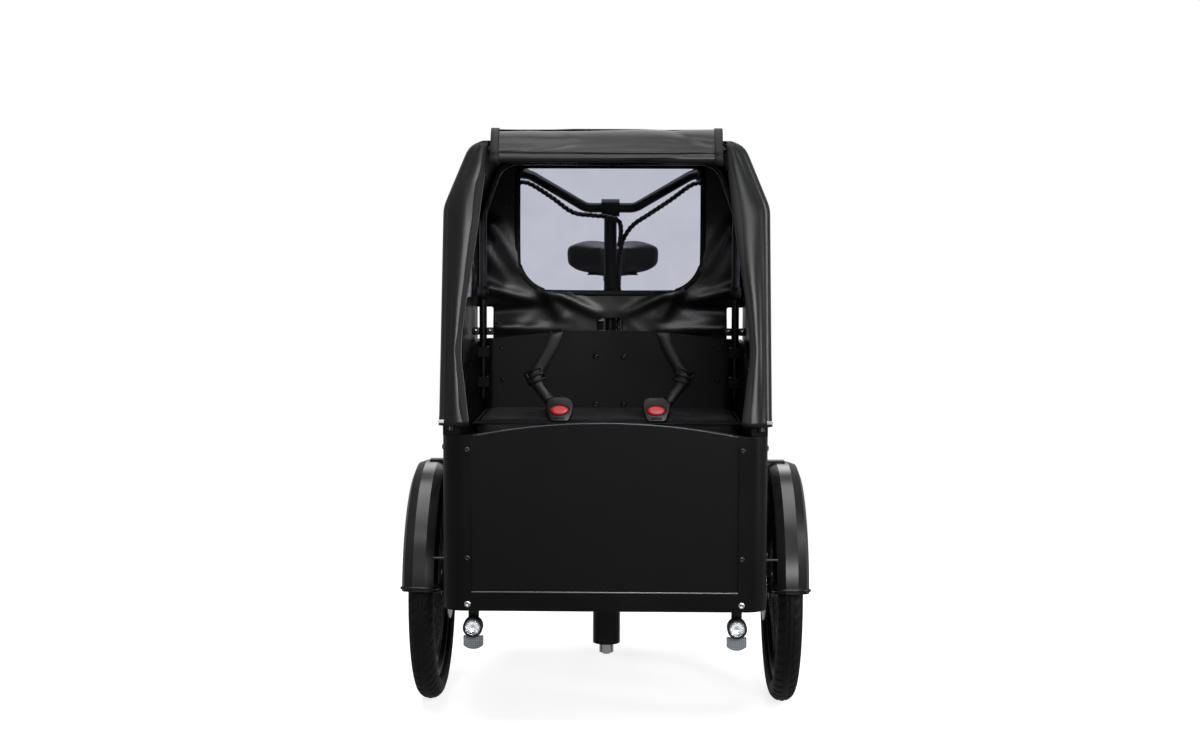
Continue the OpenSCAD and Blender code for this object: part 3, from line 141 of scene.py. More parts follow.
@dataclass(frozen=True)
class Finish:
    """A surface finish: what the material is, and what its making gives the eye."""

    name: str
    colour: str
    dark: str
    roughness: float
    pattern: Pattern = Pattern.PEEL
    cell_mm: float = 3.0
    bump_mm: float = 0.05
    metallic: float = 0.0
    ior: float = 1.5
    spread: float = 0.06
    sheen: float = 0.0
    coat: float = 0.0
    transmission: float = 0.0
    crease_mm: float = 0.0

    def material(self) -> bpy.types.Material:
        """Builds the node material once.

        Returns:
            The material.
        """
        known = bpy.data.materials.get(self.name)
        if known:
            return known
        mat = bpy.data.materials.new(self.name)
        mat.use_nodes = True
        tree = mat.node_tree
        shader = tree.nodes["Principled BSDF"]
        coords = add_node(tree, "ShaderNodeTexCoord").outputs["Object"]
        height = self.height(tree, coords)
        self.colours(tree, shader, coords, height)
        self.relief(tree, shader, coords, height)
        shader.inputs["Metallic"].default_value = self.metallic
        if self.metallic < 0.5:
            shader.inputs["IOR"].default_value = self.ior
        shader.inputs["Sheen Weight"].default_value = self.sheen
        shader.inputs["Coat Weight"].default_value = self.coat
        shader.inputs["Transmission Weight"].default_value = self.transmission
        return mat

    def height(self, tree: bpy.types.NodeTree, coords: bpy.types.NodeSocket) -> bpy.types.NodeSocket | None:
        """Draws the height of the pattern.

        Args:
            tree: The material's tree.
            coords: Object coordinates.

        Returns:
            A height socket, or None for a plain surface.
        """
        cells = {"Vector": coords, "Scale": per_metre(self.cell_mm)}
        if self.pattern is Pattern.PEEL:
            return add_node(tree, "ShaderNodeTexNoise", **cells, Detail=2.0).outputs["Fac"]
        if self.pattern is Pattern.GRAIN:
            return add_node(tree, "ShaderNodeTexNoise", **cells, Detail=6.0, Roughness=0.7).outputs["Fac"]
        if self.pattern is Pattern.LEATHER:
            to_edge = {"feature": "DISTANCE_TO_EDGE"}
            return add_node(tree, "ShaderNodeTexVoronoi", to_edge, **cells).outputs["Distance"]
        if self.pattern is Pattern.BRUSHED:
            lines = add_node(tree, "ShaderNodeMapping", Vector=coords, Scale=(0.05, 1.0, 1.0))
            cells["Vector"] = lines.outputs["Vector"]
            return add_node(tree, "ShaderNodeTexNoise", **cells, Detail=3.0).outputs["Fac"]
        if self.pattern is Pattern.PRISM:
            square = {"distance": "MANHATTAN"}
            return add_node(tree, "ShaderNodeTexVoronoi", square, **cells, Randomness=0.0).outputs["Distance"]
        if self.pattern is Pattern.WEAVE:
            cells.update(Scale=cells["Scale"] * WAVE_PERIOD, Distortion=0.3)
            x, y, z = (
                add_node(tree, "ShaderNodeTexWave", {"bands_direction": axis}, **cells).outputs["Fac"]
                for axis in ("X", "Y", "Z")
            )
            both = add_node(tree, "ShaderNodeMath", {"operation": "MULTIPLY"}, i0=x, i1=z).outputs[0]
            return add_node(tree, "ShaderNodeMath", {"operation": "ADD"}, i0=both, i1=y).outputs[0]
        return None

    def colours(
        self,
        tree: bpy.types.NodeTree,
        shader: bpy.types.Node,
        coords: bpy.types.NodeSocket,
        height: bpy.types.NodeSocket | None,
    ) -> None:
        """Varies colour and roughness with handling and dust, at the scale of a hand and of the pattern.

        Args:
            tree: The material's tree.
            shader: Its Principled shader.
            coords: Object coordinates.
            height: The pattern's height.
        """
        marks = per_metre(HAND_MARK_MM)
        cloud = add_node(tree, "ShaderNodeTexNoise", Vector=coords, Scale=marks, Detail=4.0).outputs["Fac"]
        speck = height
        if speck is None:
            fine = per_metre(self.cell_mm)
            speck = add_node(tree, "ShaderNodeTexNoise", Vector=coords, Scale=fine, Detail=2.0).outputs["Fac"]
        blend = add_node(tree, "ShaderNodeMath", {"operation": "MULTIPLY"}, i0=cloud, i1=speck)
        ramp_node = add_node(tree, "ShaderNodeValToRGB", Fac=blend.outputs[0])
        for element, at, colour in zip(ramp_node.color_ramp.elements, (0.05, 0.5), (self.dark, self.colour)):
            element.position = at
            element.color = linear(colour)
        tree.links.new(ramp_node.outputs["Color"], shader.inputs["Base Color"])
        rough = add_node(
            tree,
            "ShaderNodeMapRange",
            Value=cloud,
            From_Min=0.3,
            From_Max=0.7,
            To_Min=max(0.02, self.roughness - self.spread),
            To_Max=min(1.0, self.roughness + self.spread),
        )
        tree.links.new(rough.outputs["Result"], shader.inputs["Roughness"])

    def relief(
        self,
        tree: bpy.types.NodeTree,
        shader: bpy.types.Node,
        coords: bpy.types.NodeSocket,
        height: bpy.types.NodeSocket | None,
    ) -> None:
        """Bumps the surface with the slack of a cloth and with the pattern's height.

        Args:
            tree: The material's tree.
            shader: Its Principled shader.
            coords: Object coordinates.
            height: The pattern's height.
        """
        bumps = []
        if self.crease_mm:
            broad = {"Scale": per_metre(SLACK_MM), "Detail": 2.0, "Distortion": 1.2}
            slack = add_node(tree, "ShaderNodeTexNoise", Vector=coords, **broad).outputs["Fac"]
            bumps.append((slack, self.crease_mm, 0.6))
        if height is not None:
            bumps.append((height, self.bump_mm, 0.7))
        normal = None
        for lift, depth_mm, strength in bumps:
            bump = add_node(tree, "ShaderNodeBump", Height=lift, Distance=depth_mm * MM, Strength=strength)
            if normal:
                tree.links.new(normal, bump.inputs["Normal"])
            normal = bump.outputs["Normal"]
        if normal:
            tree.links.new(normal, shader.inputs["Normal"])


# The black finishes have an IOR under the typical 1.5 of their plastics and paints: it is matched to the
# photograph, where they throw back less light. Real threads are about 0.4 mm apart, real prisms and grain
# under 1 mm: each cell below is drawn as coarse as it needs to show.

# Polyurethane-coated polyester: a fine weave under a satin skin that creases where it was folded.
CANOPY_CLOTH = Finish(
    "coated_polyester_canopy", "#0f1012", "#08090a", 0.30, Pattern.WEAVE, 1.382, 0.03,
    ior=1.4, sheen=0.03, crease_mm=0.2, spread=0.03,
)
# Woven polyester tape: duller than the cloth it binds, with ribs that can be told apart.
CANOPY_BINDING = Finish(
    "woven_edge_binding", "#0c0d0e", "#070707", 0.62, Pattern.WEAVE, 1.005, 0.08, ior=1.35
)
# Film-faced birch board: phenolic film with a fine pressed grain, dull black.
FACED_BOARD = Finish(
    "film_faced_board", "#070708", "#050506", 0.52, Pattern.GRAIN, 1.6, 0.05, ior=1.24, spread=0.05
)
# The same board with its rough side out: a deeper pressed grain that catches the light in specks.
PRESSED_BOARD = Finish(
    "pressed_film_board", "#0d0d0f", "#070708", 0.50, Pattern.GRAIN, 3.2, 0.22, ior=1.3, spread=0.05
)
# Powder-coated aluminium: a soft orange peel of about three millimetres.
COATED_PROFILE = Finish(
    "powder_coated_profile", "#070808", "#050505", 0.40, Pattern.PEEL, 2.6, 0.03, ior=1.24
)
# Powder-coated steel tube: the same peel with more gloss, so that a light draws a line along it.
COATED_TUBE = Finish("powder_coated_tube", "#090909", "#050505", 0.32, Pattern.PEEL, 2.2, 0.03, ior=1.32)
# Blackened spring steel: dark metal with a fine grain and a dull shine.
MATT_STEEL = Finish("black_oxide_steel", "#161617", "#0d0d0d", 0.45, Pattern.GRAIN, 1.2, 0.03, metallic=0.6)
# Polypropylene mudguard: moulded, with a low sheen and a faint flow mark.
GUARD_PLASTIC = Finish(
    "moulded_polypropylene", "#0a0b0c", "#060708", 0.30, Pattern.PEEL, 5.0, 0.02, ior=1.4, spread=0.06
)
# Spark-eroded ABS: a fine even grain that spreads the light.
MOULDED_ABS = Finish("moulded_abs", "#0c0c0d", "#070708", 0.38, Pattern.GRAIN, 0.9, 0.03)
# ABS from a smoother mould: a satin case with soft lights on its edges.
BUCKLE_ABS = Finish("satin_buckle_abs", "#080809", "#050505", 0.30, Pattern.GRAIN, 0.8, 0.02, ior=1.35)
# Dyed ABS: bright red through and through, with a glossy face.
BUTTON_RED = Finish("moulded_red_abs", "#ff2a34", "#f31b26", 0.30, Pattern.PEEL, 1.2, 0.02, coat=0.3)
# Vulcanised rubber: dull black with a mould's fine grain and a little dust.
TYRE_RUBBER = Finish(
    "vulcanised_rubber", "#0c0c0c", "#060606", 0.62, Pattern.GRAIN, 1.4, 0.06, ior=1.28, spread=0.08
)
# Soft grip rubber: a pebbled grain that takes all gloss away.
GRIP_RUBBER = Finish("ribbed_grip_rubber", "#0e0e0f", "#080809", 0.66, Pattern.LEATHER, 1.8, 0.2)
# Stainless steel ground in one direction: a bright line smeared across the grain.
BRUSHED_STEEL = Finish("brushed_steel", "#b9babb", "#8f9091", 0.30, Pattern.BRUSHED, 0.6, 0.02, metallic=1.0)
# Zinc-plated steel: bright and slightly uneven.
ZINC = Finish("bright_zinc", "#d5d7d9", "#a9abad", 0.22, Pattern.PEEL, 1.5, 0.02, metallic=1.0)
# Black-passivated zinc: a dark metal that still glints.
DARK_ZINC = Finish("black_zinc", "#4c4d4f", "#2a2b2c", 0.24, Pattern.PEEL, 1.5, 0.02, metallic=0.8)
# Oiled chain steel: grey metal, darker where oil and dust gather.
CHAIN_STEEL = Finish("oiled_chain_steel", "#6c6c6e", "#2d2c2b", 0.34, Pattern.GRAIN, 2.0, 0.04, metallic=1.0)
# Anodised aluminium: satin grey with fine draw lines.
SATIN_ALLOY = Finish("anodised_alloy", "#8d8e91", "#6f7073", 0.32, Pattern.BRUSHED, 0.5, 0.02, metallic=1.0)
# Black-anodised aluminium: the same lines on a dark, low shine.
DARK_ALLOY = Finish(
    "black_anodised_alloy", "#242527", "#151617", 0.34, Pattern.BRUSHED, 0.5, 0.02, metallic=0.9
)
# Seat cover: a tight polyester weave over foam, with a soft bloom at its edges.
SEAT_WEAVE = Finish(
    "seat_polyester_weave", "#121315", "#0a0b0c", 0.62, Pattern.WEAVE, 1.634, 0.14, ior=1.38, sheen=0.04
)
# Grained vinyl skin of the saddle: small soft cells, hardly any gloss.
SADDLE_SKIN = Finish("grained_saddle_skin", "#090909", "#050505", 0.56, Pattern.LEATHER, 2.4, 0.12, ior=1.26)
# Woven polyester webbing: a coarse weave of glossy threads.
WEBBING = Finish("woven_webbing", "#141517", "#0a0a0b", 0.30, Pattern.WEAVE, 1.508, 0.2, sheen=0.05)
# Extruded polyethylene wrap: smooth and glossy.
CABLE_WRAP = Finish("spiral_cable_wrap", "#0e0f10", "#070707", 0.24, Pattern.PEEL, 1.5, 0.02)
# Clear vinyl film: thin and faintly violet, with soft ripples. Its IOR is low, because a thin film hardly
# bends the light that the modelled thickness would.
WINDOW_FILM = Finish(
    "clear_vinyl_film", "#bfc1cd", "#b6b8c6", 0.03, Pattern.PEEL, 60.0, 0.3,
    ior=1.12, transmission=1.0, spread=0.01,
)
# Moulded clear polycarbonate: a smooth lens that shows the bowl behind it.
LENS_CLEAR = Finish(
    "clear_polycarbonate", "#ffffff", "#f4f6f8", 0.03, Pattern.PLAIN, 4.0,
    ior=1.58, transmission=1.0, spread=0.01,
)
# Vacuum-metallised bowl: a mirror broken up in facets.
BOWL_CHROME = Finish(
    "vacuum_metallised_bowl", "#e4e6e8", "#c9cbce", 0.10, Pattern.PRISM, 3.0, 0.4, metallic=1.0
)
# Clear prism reflector: grey cells under a glossy face, which flash one by one.
PRISM_GREY = Finish(
    "prism_reflector", "#a4aab1", "#4d535b", 0.20, Pattern.PRISM, 4.5, 1.2, metallic=0.45, coat=0.6
)
# Red polycarbonate of the rear lamp: prisms under a glossy face.
LAMP_RED = Finish("red_lamp_polycarbonate", "#8c1416", "#5e0b0d", 0.14, Pattern.PRISM, 3.0, 0.5, coat=0.5)
# Reflective tape: pale, with a fine net of cells.
REFLECT_TAPE = Finish("reflective_tape", "#dfe2e6", "#c2c6cb", 0.25, Pattern.PRISM, 1.6, 0.1)


# Mesh tools

# Steps of a smooth curve between two of its points, before it is sampled evenly.
CURVE_STEPS = 40


def mesh_object(
    name: str, verts: Iterable[Point], faces: Iterable[Sequence[int]], finish: Finish, smooth: bool = True
) -> bpy.types.Object:
    """Makes a mesh object at the origin from points in millimetres.

    Args:
        name: Piece name.
        verts: Points in millimetres.
        faces: Corner indices.
        finish: Finish of every face.
        smooth: Whether faces are shaded smooth.

    Returns:
        The linked object.
    """
    mesh = bpy.data.meshes.new(name)
    mesh.from_pydata([Vector(v) * MM for v in verts], [], [list(f) for f in faces])
    mesh.materials.append(finish.material())
    mesh.polygons.foreach_set("use_smooth", [smooth] * len(mesh.polygons))
    return linked(name, mesh)


def linked(name: str, data: bpy.types.ID) -> bpy.types.Object:
    """Makes an object of some data and links it to the scene.

    Args:
        name: Object name.
        data: Mesh, light or camera.

    Returns:
        The object.
    """
    thing = bpy.data.objects.new(name, data)
    bpy.context.scene.collection.objects.link(thing)
    return thing


def shade_smooth(piece: bpy.types.Object) -> None:
    """Shades every face of a piece smooth."""
    piece.data.polygons.foreach_set("use_smooth", [True] * len(piece.data.polygons))


def mesh_points(piece: bpy.types.Object) -> np.ndarray:
    """Points of a piece's mesh in metres, one a row."""
    return np.array([v.co for v in piece.data.vertices])


def clean(piece: bpy.types.Object, merge_mm: float = 0.05) -> bpy.types.Object:
    """Merges doubles, drops what has no area and turns faces outwards.

    Args:
        piece: The piece.
        merge_mm: Distance under which points merge.

    Returns:
        The same piece.
    """
    work = bmesh.new()
    work.from_mesh(piece.data)
    bmesh.ops.remove_doubles(work, verts=work.verts, dist=merge_mm * MM)
    bmesh.ops.dissolve_degenerate(work, edges=work.edges, dist=merge_mm * MM)
    bmesh.ops.recalc_face_normals(work, faces=work.faces)
    work.to_mesh(piece.data)
    work.free()
    return piece


def flatten(piece: bpy.types.Object) -> bpy.types.Object:
    """Replaces a piece's mesh by its evaluated one, and removes its modifiers.

    Args:
        piece: The piece, with modifiers.

    Returns:
        The same piece.
    """
    graph = bpy.context.evaluated_depsgraph_get()
    graph.update()
    mesh = bpy.data.meshes.new_from_object(piece.evaluated_get(graph))
    piece.modifiers.clear()
    piece.data = mesh
    return piece


def refine(piece: bpy.types.Object, kind: str, **settings: Any) -> bpy.types.Object:
    """Adds one modifier with its settings and makes it plain mesh.

    Args:
        piece: The piece.
        kind: Blender's modifier type.
        settings: Properties of the modifier.

    Returns:
        The same piece.
    """
    mod = piece.modifiers.new(kind.lower(), kind)
    for key, value in settings.items():
        setattr(mod, key, value)
    return flatten(piece)


def join(name: str, pieces: Sequence[bpy.types.Object]) -> bpy.types.Object:
    """Joins pieces to one object with their materials kept.

    Args:
        name: Name of the whole.
        pieces: What is joined, and then removed.

    Returns:
        The whole.
    """
    work = bmesh.new()
    slots: list[bpy.types.Material] = []
    for piece in pieces:
        offset = {}
        for i, mat in enumerate(piece.data.materials):
            if mat not in slots:
                slots.append(mat)
            offset[i] = slots.index(mat)
        start = len(work.faces)
        work.from_mesh(piece.data)
        work.faces.ensure_lookup_table()
        for face in work.faces[start:]:
            face.material_index = offset.get(face.material_index, 0)
    mesh = bpy.data.meshes.new(name)
    work.to_mesh(mesh)
    work.free()
    for mat in slots:
        mesh.materials.append(mat)
    for piece in pieces:
        bpy.data.objects.remove(piece)
    return linked(name, mesh)


def ring_faces(rings: int, sides: int, closed: bool, capped: bool) -> list[list[int]]:
    """Quads between successive rings of a sweep.

    Args:
        rings: Number of rings.
        sides: Points on each ring.
        closed: Whether the last ring joins the first.
        capped: Whether open ends get a cap.

    Returns:
        Faces as index lists.
    """
    faces = []
    for i in range(rings if closed else rings - 1):
        j = (i + 1) % rings
        for k in range(sides):
            m = (k + 1) % sides
            faces.append([i * sides + k, i * sides + m, j * sides + m, j * sides + k])
    if capped and not closed:
        faces.append(list(range(sides - 1, -1, -1)))
        faces.append([(rings - 1) * sides + k for k in range(sides)])
    return faces


def grid_faces(rows: int, cols: int) -> list[list[int]]:
    """Quads of an open sheet.

    Args:
        rows: Lines of points.
        cols: Points on each line.

    Returns:
        Faces as index lists.
    """
    corners = [i * cols + k for i in range(rows - 1) for k in range(cols - 1)]
    return [[c, c + 1, c + cols + 1, c + cols] for c in corners]


def run_lengths(path: np.ndarray) -> np.ndarray:
    """Distance along a line of points at each of them, from zero."""
    return np.concatenate([[0], np.cumsum(np.linalg.norm(np.diff(path, axis=0), axis=1))])


def evenly(path: np.ndarray, count: int) -> np.ndarray:
    """Samples a line of points at even steps.

    Args:
        path: The line.
        count: Number of samples.

    Returns:
        The samples, one a row.
    """
    length = run_lengths(path)
    at = np.linspace(0, length[-1], count)
    return np.stack([np.interp(at, length, path[:, k]) for k in range(path.shape[1])], axis=1)


def smooth_path(points: Sequence[Point], step: float, closed: bool = False) -> np.ndarray:
    """Smooth curve through points, sampled at even steps.

    Args:
        points: Points in millimetres.
        step: Spacing of the samples.
        closed: Whether the curve returns to its start.

    Returns:
        Sampled points.
    """
    p = np.array(points, float)
    n = len(p)
    dense = []
    for i in range(n if closed else n - 1):
        a, b, c, d = (p[(i + k) % n] if closed else p[min(max(i + k, 0), n - 1)] for k in (-1, 0, 1, 2))
        square, cube = 2 * a - 5 * b + 4 * c - d, 3 * b - a - 3 * c + d
        for t in np.linspace(0, 1, CURVE_STEPS, endpoint=False):
            dense.append(0.5 * (2 * b + (c - a) * t + square * t**2 + cube * t**3))
    dense.append(p[0] if closed else p[-1])
    line = np.array(dense)
    path = evenly(line, max(3, int(round(run_lengths(line)[-1] / step)) + 1))
    return path[:-1] if closed else path


def frames_along(path: np.ndarray, closed: bool, up: Point) -> tuple[np.ndarray, np.ndarray]:
    """Two cross directions at each point of a path, carried along with little twist.

    Args:
        path: Sampled points.
        closed: Whether the path is a loop.
        up: Direction that the second cross direction starts near.

    Returns:
        Side and lift directions.
    """
    tangent = np.roll(path, -1, 0) - np.roll(path, 1, 0)
    if not closed:
        tangent[0], tangent[-1] = path[1] - path[0], path[-1] - path[-2]
    tangent /= np.linalg.norm(tangent, axis=1)[:, None]
    lift = np.array(up, float)
    sides, lifts = [], []
    for t in tangent:
        side = np.cross(t, lift)
        side /= max(np.linalg.norm(side), 1e-9)
        lift = np.cross(side, t)
        sides.append(side)
        lifts.append(lift)
    return np.array(sides), np.array(lifts)


def sweep(
    name: str,
    points: Sequence[Point],
    section: Section,
    finish: Finish,
    step: float = 6.0,
    closed: bool = False,
    up: Point = (0.0, 0.03, 1.0),
) -> bpy.types.Object:
    """Sweeps a section along a smooth curve.

    Args:
        name: Piece name.
        points: Points of the route, in millimetres.
        section: Gives the section's points from the distance along and the share of the length.
        finish: Finish of the piece.
        step: Spacing of the rings.
        closed: Whether the route is a loop.
        up: Direction of the section's second axis at the start.

    Returns:
        The object.
    """
    path = smooth_path(points, step, closed)
    side, lift = frames_along(path, closed, up)
    length = run_lengths(path)
    verts = []
    sides = 0
    for i, at in enumerate(path):
        outline = section(length[i], length[i] / length[-1])
        sides = len(outline)
        verts += [at + side[i] * s + lift[i] * t for s, t in outline]
    return clean(mesh_object(name, verts, ring_faces(len(path), sides, closed, True), finish), 0.01)


def round_section(radius: float, sides: int = 12) -> Section:
    """Plain round section of a sweep.

    Args:
        radius: Its radius.
        sides: Points round it.

    Returns:
        A section that is the same all along.
    """
    turns = [2 * math.pi * k / sides for k in range(sides)]
    outline = [(radius * math.cos(a), radius * math.sin(a)) for a in turns]
    return lambda along, share: outline


def flat_section(width: float, thick: float) -> Section:
    """Flat strap section with rounded edges.

    Args:
        width: Its size along the side direction.
        thick: Its size along the lift.

    Returns:
        A section that is the same all along.
    """
    w, t = width / 2, thick / 2
    outline = [(-w, 0), (-w + t, -t), (0, -t), (w - t, -t), (w, 0), (w - t, t), (0, t), (-w + t, t)]
    return lambda along, share: outline


def lathe(name: str, profile: Outline, finish: Finish, steps: int, place: Matrix) -> bpy.types.Object:
    """Turns a radius and height profile about Z, and places it.

    Args:
        name: Piece name.
        profile: Radius and height pairs in millimetres, from axis to axis, or back to their start.
        finish: Finish of the piece.
        steps: Steps of a turn.
        place: Matrix in millimetres.

    Returns:
        The object.
    """
    verts = []
    for k in range(steps):
        a = 2 * math.pi * k / steps
        verts += [place @ Vector((r * math.cos(a), r * math.sin(a), h)) for r, h in profile]
    n = len(profile)
    faces = []
    for k in range(steps):
        here, there = k * n, (k + 1) % steps * n
        faces += [[here + i, here + i + 1, there + i + 1, there + i] for i in range(n - 1)]
    return clean(mesh_object(name, verts, faces, finish), 0.02)


def slab(
    name: str, outline: Outline, span: Point, place: Callable[[float, float, float], Point], finish: Finish
) -> bpy.types.Object:
    """Makes a prism from an outline.

    Args:
        name: Piece name.
        outline: Its outline, across.
        span: Its two ends, along.
        place: Gives a point in millimetres from two coordinates across and one along.
        finish: Its finish.

    Returns:
        The object, shaded flat.
    """
    verts = [place(a, b, end) for end in span for a, b in outline]
    return clean(mesh_object(name, verts, ring_faces(2, len(outline), False, True), finish, False))


def bevelled(name: str, place: Matrix, size: Point, bevel: float, finish: Finish) -> bpy.types.Object:
    """Makes a block with rounded edges.

    Args:
        name: Piece name.
        place: Matrix of its middle, in millimetres.
        size: Width, depth and height.
        bevel: Edge radius.
        finish: Its finish.

    Returns:
        The object.
    """
    x, y, z = (s / 2 for s in size)
    base = [(-x, -y), (x, -y), (x, y), (-x, y)]
    block = slab(name, base, (-z, z), lambda a, b, c: place @ Vector((a, b, c)), finish)
    refine(block, "BEVEL", width=bevel * MM, segments=3)
    shade_smooth(block)
    return block


def rounded_loop(
    low: Point, high: Point, radius: float, per_corner: int = 10, top_radius: float | None = None
) -> list[tuple[float, float]]:
    """Points round a rectangle with rounded corners, anticlockwise.

    Args:
        low: Lower left corner.
        high: Upper right corner.
        radius: Corner radius.
        per_corner: Steps of a corner.
        top_radius: Radius of the upper corners, where it differs.

    Returns:
        The points.
    """
    top = radius if top_radius is None else top_radius
    corners = (
        (high[0], high[1], top, 0),
        (low[0], high[1], top, 90),
        (low[0], low[1], radius, 180),
        (high[0], low[1], radius, 270),
    )
    mid_x, mid_y = (low[0] + high[0]) / 2, (low[1] + high[1]) / 2
    loop = []
    for x, y, r, start in corners:
        cx, cy = x - math.copysign(r, x - mid_x), y - math.copysign(r, y - mid_y)
        for k in range(per_corner + 1):
            a = math.radians(start + 90 * k / per_corner)
            loop.append((cx + r * math.cos(a), cy + r * math.sin(a)))
    return loop


def placed(at: Point, degrees: float = 0.0, axis: str = "X") -> Matrix:
    """Matrix that turns about an axis and then moves to a place."""
    return Matrix.Translation(at) @ Matrix.Rotation(math.radians(degrees), 4, axis)


def mirrored(points: Iterable[Point], side: int) -> list[tuple[float, float, float]]:
    """Points as given for side 1, and mirrored across the middle for side -1."""
    return [(side * x, y, z) for x, y, z in points]


def settle(piece: bpy.types.Object, body: Body, slot: str, *nodes: str) -> bpy.types.Object:
    """Puts a piece on its body, hides the CAD nodes that it replaces, and logs it.

    Args:
        piece: The piece.
        body: The CAD body that it rides.
        slot: Its material slot; not used.
        nodes: CAD nodes that it replaces.

    Returns:
        The same piece.
    """
    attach(piece, body.value)
    if nodes:
        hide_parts(*nodes)
    log.info("%s rides %s: %d faces", piece.name, body.value, len(piece.data.polygons))
    return piece


def declare_sheet(piece: bpy.types.Object, flat: tuple[float, float], held: str, *rests_on: str) -> None:
    """Logs half the surface of a cloth as its flat area.

    Args:
        piece: The cloth, with its thickness.
        flat: Width and length of the cut, in millimetres; not used.
        held: How it hangs; not used.
        rests_on: What it lies on; not used.
    """
    area = sum(face.area for face in piece.data.polygons) / 2
    log.info("%s: cloth of %.3f square metres", piece.name, area)


def hash_noise(p: np.ndarray, cell: float, seed: int) -> np.ndarray:
    """Smooth value noise between minus one and one at points in millimetres.

    Args:
        p: Points, one a row.
        cell: Size of a noise cell in millimetres.
        seed: Which noise.

    Returns:
        One value a point.
    """
    q = p / cell
    base = np.floor(q).astype(np.int64)
    frac = q - base
    frac = frac * frac * (3 - 2 * frac)
    total = np.zeros(len(p))
    # Each corner of a cell gets a value from its whole-number place, scattered by large odd factors.
    for corner in range(8):
        d = np.array([(corner >> k) & 1 for k in range(3)])
        c = base + d
        h = (c[:, 0] * 374761393 + c[:, 1] * 668265263 + c[:, 2] * 1274126177 + seed * 974711) & 0x7FFFFFFF
        h = ((h ^ (h >> 13)) * 1103515245 + 12345) & 0x7FFFFFFF
        h = (h ^ (h >> 16)) & 0xFFFF
        weight = np.prod(np.where(d, frac, 1 - frac), axis=1)
        total += weight * (h / 32767.5 - 1)
    return total


def stacked(*axes: np.ndarray | float) -> np.ndarray:
    """Points, one a row, from their coordinates."""
    return np.stack(np.broadcast_arrays(*axes), axis=1)


def ramp(value: np.ndarray | float, start: np.ndarray | float, end: np.ndarray | float) -> np.ndarray:
    """Goes from 0 at start to 1 at end, and stays so on either side."""
    return np.clip((value - start) / (end - start), 0, 1)


# Measures that the CAD gives, in millimetres

FRONT_Y, BOX_BACK_Y = -1060.0, -180.0
AXLE_Y, AXLE_Z, WHEEL_X = -670.0, 258.0, 391.0
REAR_AXLE = (0.0, 714.0, 327.0)
SHOULDER_X, ROOF_X, ROLL_X = 337.0, 282.0, 236.0
HEM_Z, SHOULDER_Z, ROOF_Z = 652.0, 1095.0, 1232.0
CANOPY_BACK_Y = -166.0
REAR_HOOP_Y = -370.0
DOOR_FOOT_Y, DOOR_FOOT_Z = FRONT_Y + 16.0, 633.0
LEAN = math.tan(math.radians(11.0))
BAR = (0.0, -128.0, 1116.0)


def lean_y(z: np.ndarray | float) -> np.ndarray | float:
    """Depth of the leaning front of the canopy at a height."""
    return DOOR_FOOT_Y + (z - DOOR_FOOT_Z) * LEAN


def read_off(table: Outline, at: float) -> float:
    """Value of a table of places and values, between its entries."""
    places, values = zip(*table)
    return float(np.interp(at, places, values))


class Piece:
    """Something built in Blender that rides a CAD body."""

    def build(self) -> None:
        """Makes the piece's objects."""
        raise NotImplementedError


@dataclass
class Tyre(Piece):
    """Tyre with a slotted tread, side ribs and a bead, turned about X. Its angles go round the section."""

    node: str
    body: Body
    centre: Point
    diameter: float
    width: float
    bead_d: float
    pitches: int
    pitch_steps: int = 8
    bead_angle: float = 128.0
    wall_angle: float = 66.0
    tread_angle: float = 60.0
    line_depth: float = 2.0
    slot_depth: float = 2.2
    slot_share: float = 0.34
    land_depth: float = 0.15
    wall_drop: float = 0.5
    rib_drop: float = 0.6

    def build(self) -> None:
        """Revolves the section, with the tread cut as grooves below the CAD's outer line."""
        half = self.width / 2
        mid = self.diameter / 2 - half
        bead = self.bead_d / 2 + 1.0
        turns = self.pitches * self.pitch_steps
        wall = np.linspace(self.wall_angle, self.bead_angle, 12)
        tread = np.linspace(-self.tread_angle, self.tread_angle, 41)
        angles = np.radians(np.concatenate([-wall[::-1], tread, wall]))
        cx, cy, cz = self.centre
        verts = []
        for k in range(turns):
            theta = 2 * math.pi * k / turns
            for a in angles:
                r = half - self.groove(k, math.degrees(a))
                out = max(mid + r * math.cos(a), bead)
                verts.append((cx + r * math.sin(a), cy + out * math.cos(theta), cz + out * math.sin(theta)))
        faces = ring_faces(turns, len(angles), True, False)
        tyre = clean(mesh_object(f"{self.node}_treaded", verts, faces, TYRE_RUBBER), 0.02)
        settle(tyre, self.body, "tyre_rubber", self.node)

    def groove(self, step: int, degrees: float) -> float:
        """Ribs on the wall, two lines round the middle and slanting slots on the shoulders.

        Args:
            step: Step round the wheel.
            degrees: Angle round the section, from its outermost point.

        Returns:
            Depth below the outer line.
        """
        off = abs(degrees)
        if off > 62:
            ribbed = 70 < off < 76 or 84 < off < 88
            return self.wall_drop + (self.rib_drop if ribbed else 0.0)
        if 9 <= off <= 15:
            return self.line_depth
        slant = (step / self.pitch_steps + degrees / 90 + (0.5 if degrees > 0 else 0)) % 1
        return self.slot_depth if off > 17 and slant < self.slot_share else self.land_depth


@dataclass(frozen=True)
class Window:
    """An opening in a canopy wall, across and up, with rounded corners."""

    low: Point
    high: Point
    radius: float
    top_radius: float | None = None

    def outline(self, margin: float = 0.0, rounder: float = 0.0, steps: int = 10) -> Outline:
        """Points round the opening, or round a larger one.

        Args:
            margin: How far outside the opening.
            rounder: What its corner radii gain.
            steps: Steps of a corner.

        Returns:
            The points.
        """
        top = None if self.top_radius is None else self.top_radius + rounder
        low = (self.low[0] - margin, self.low[1] - margin)
        high = (self.high[0] + margin, self.high[1] + margin)
        return rounded_loop(low, high, self.radius + rounder, steps, top)


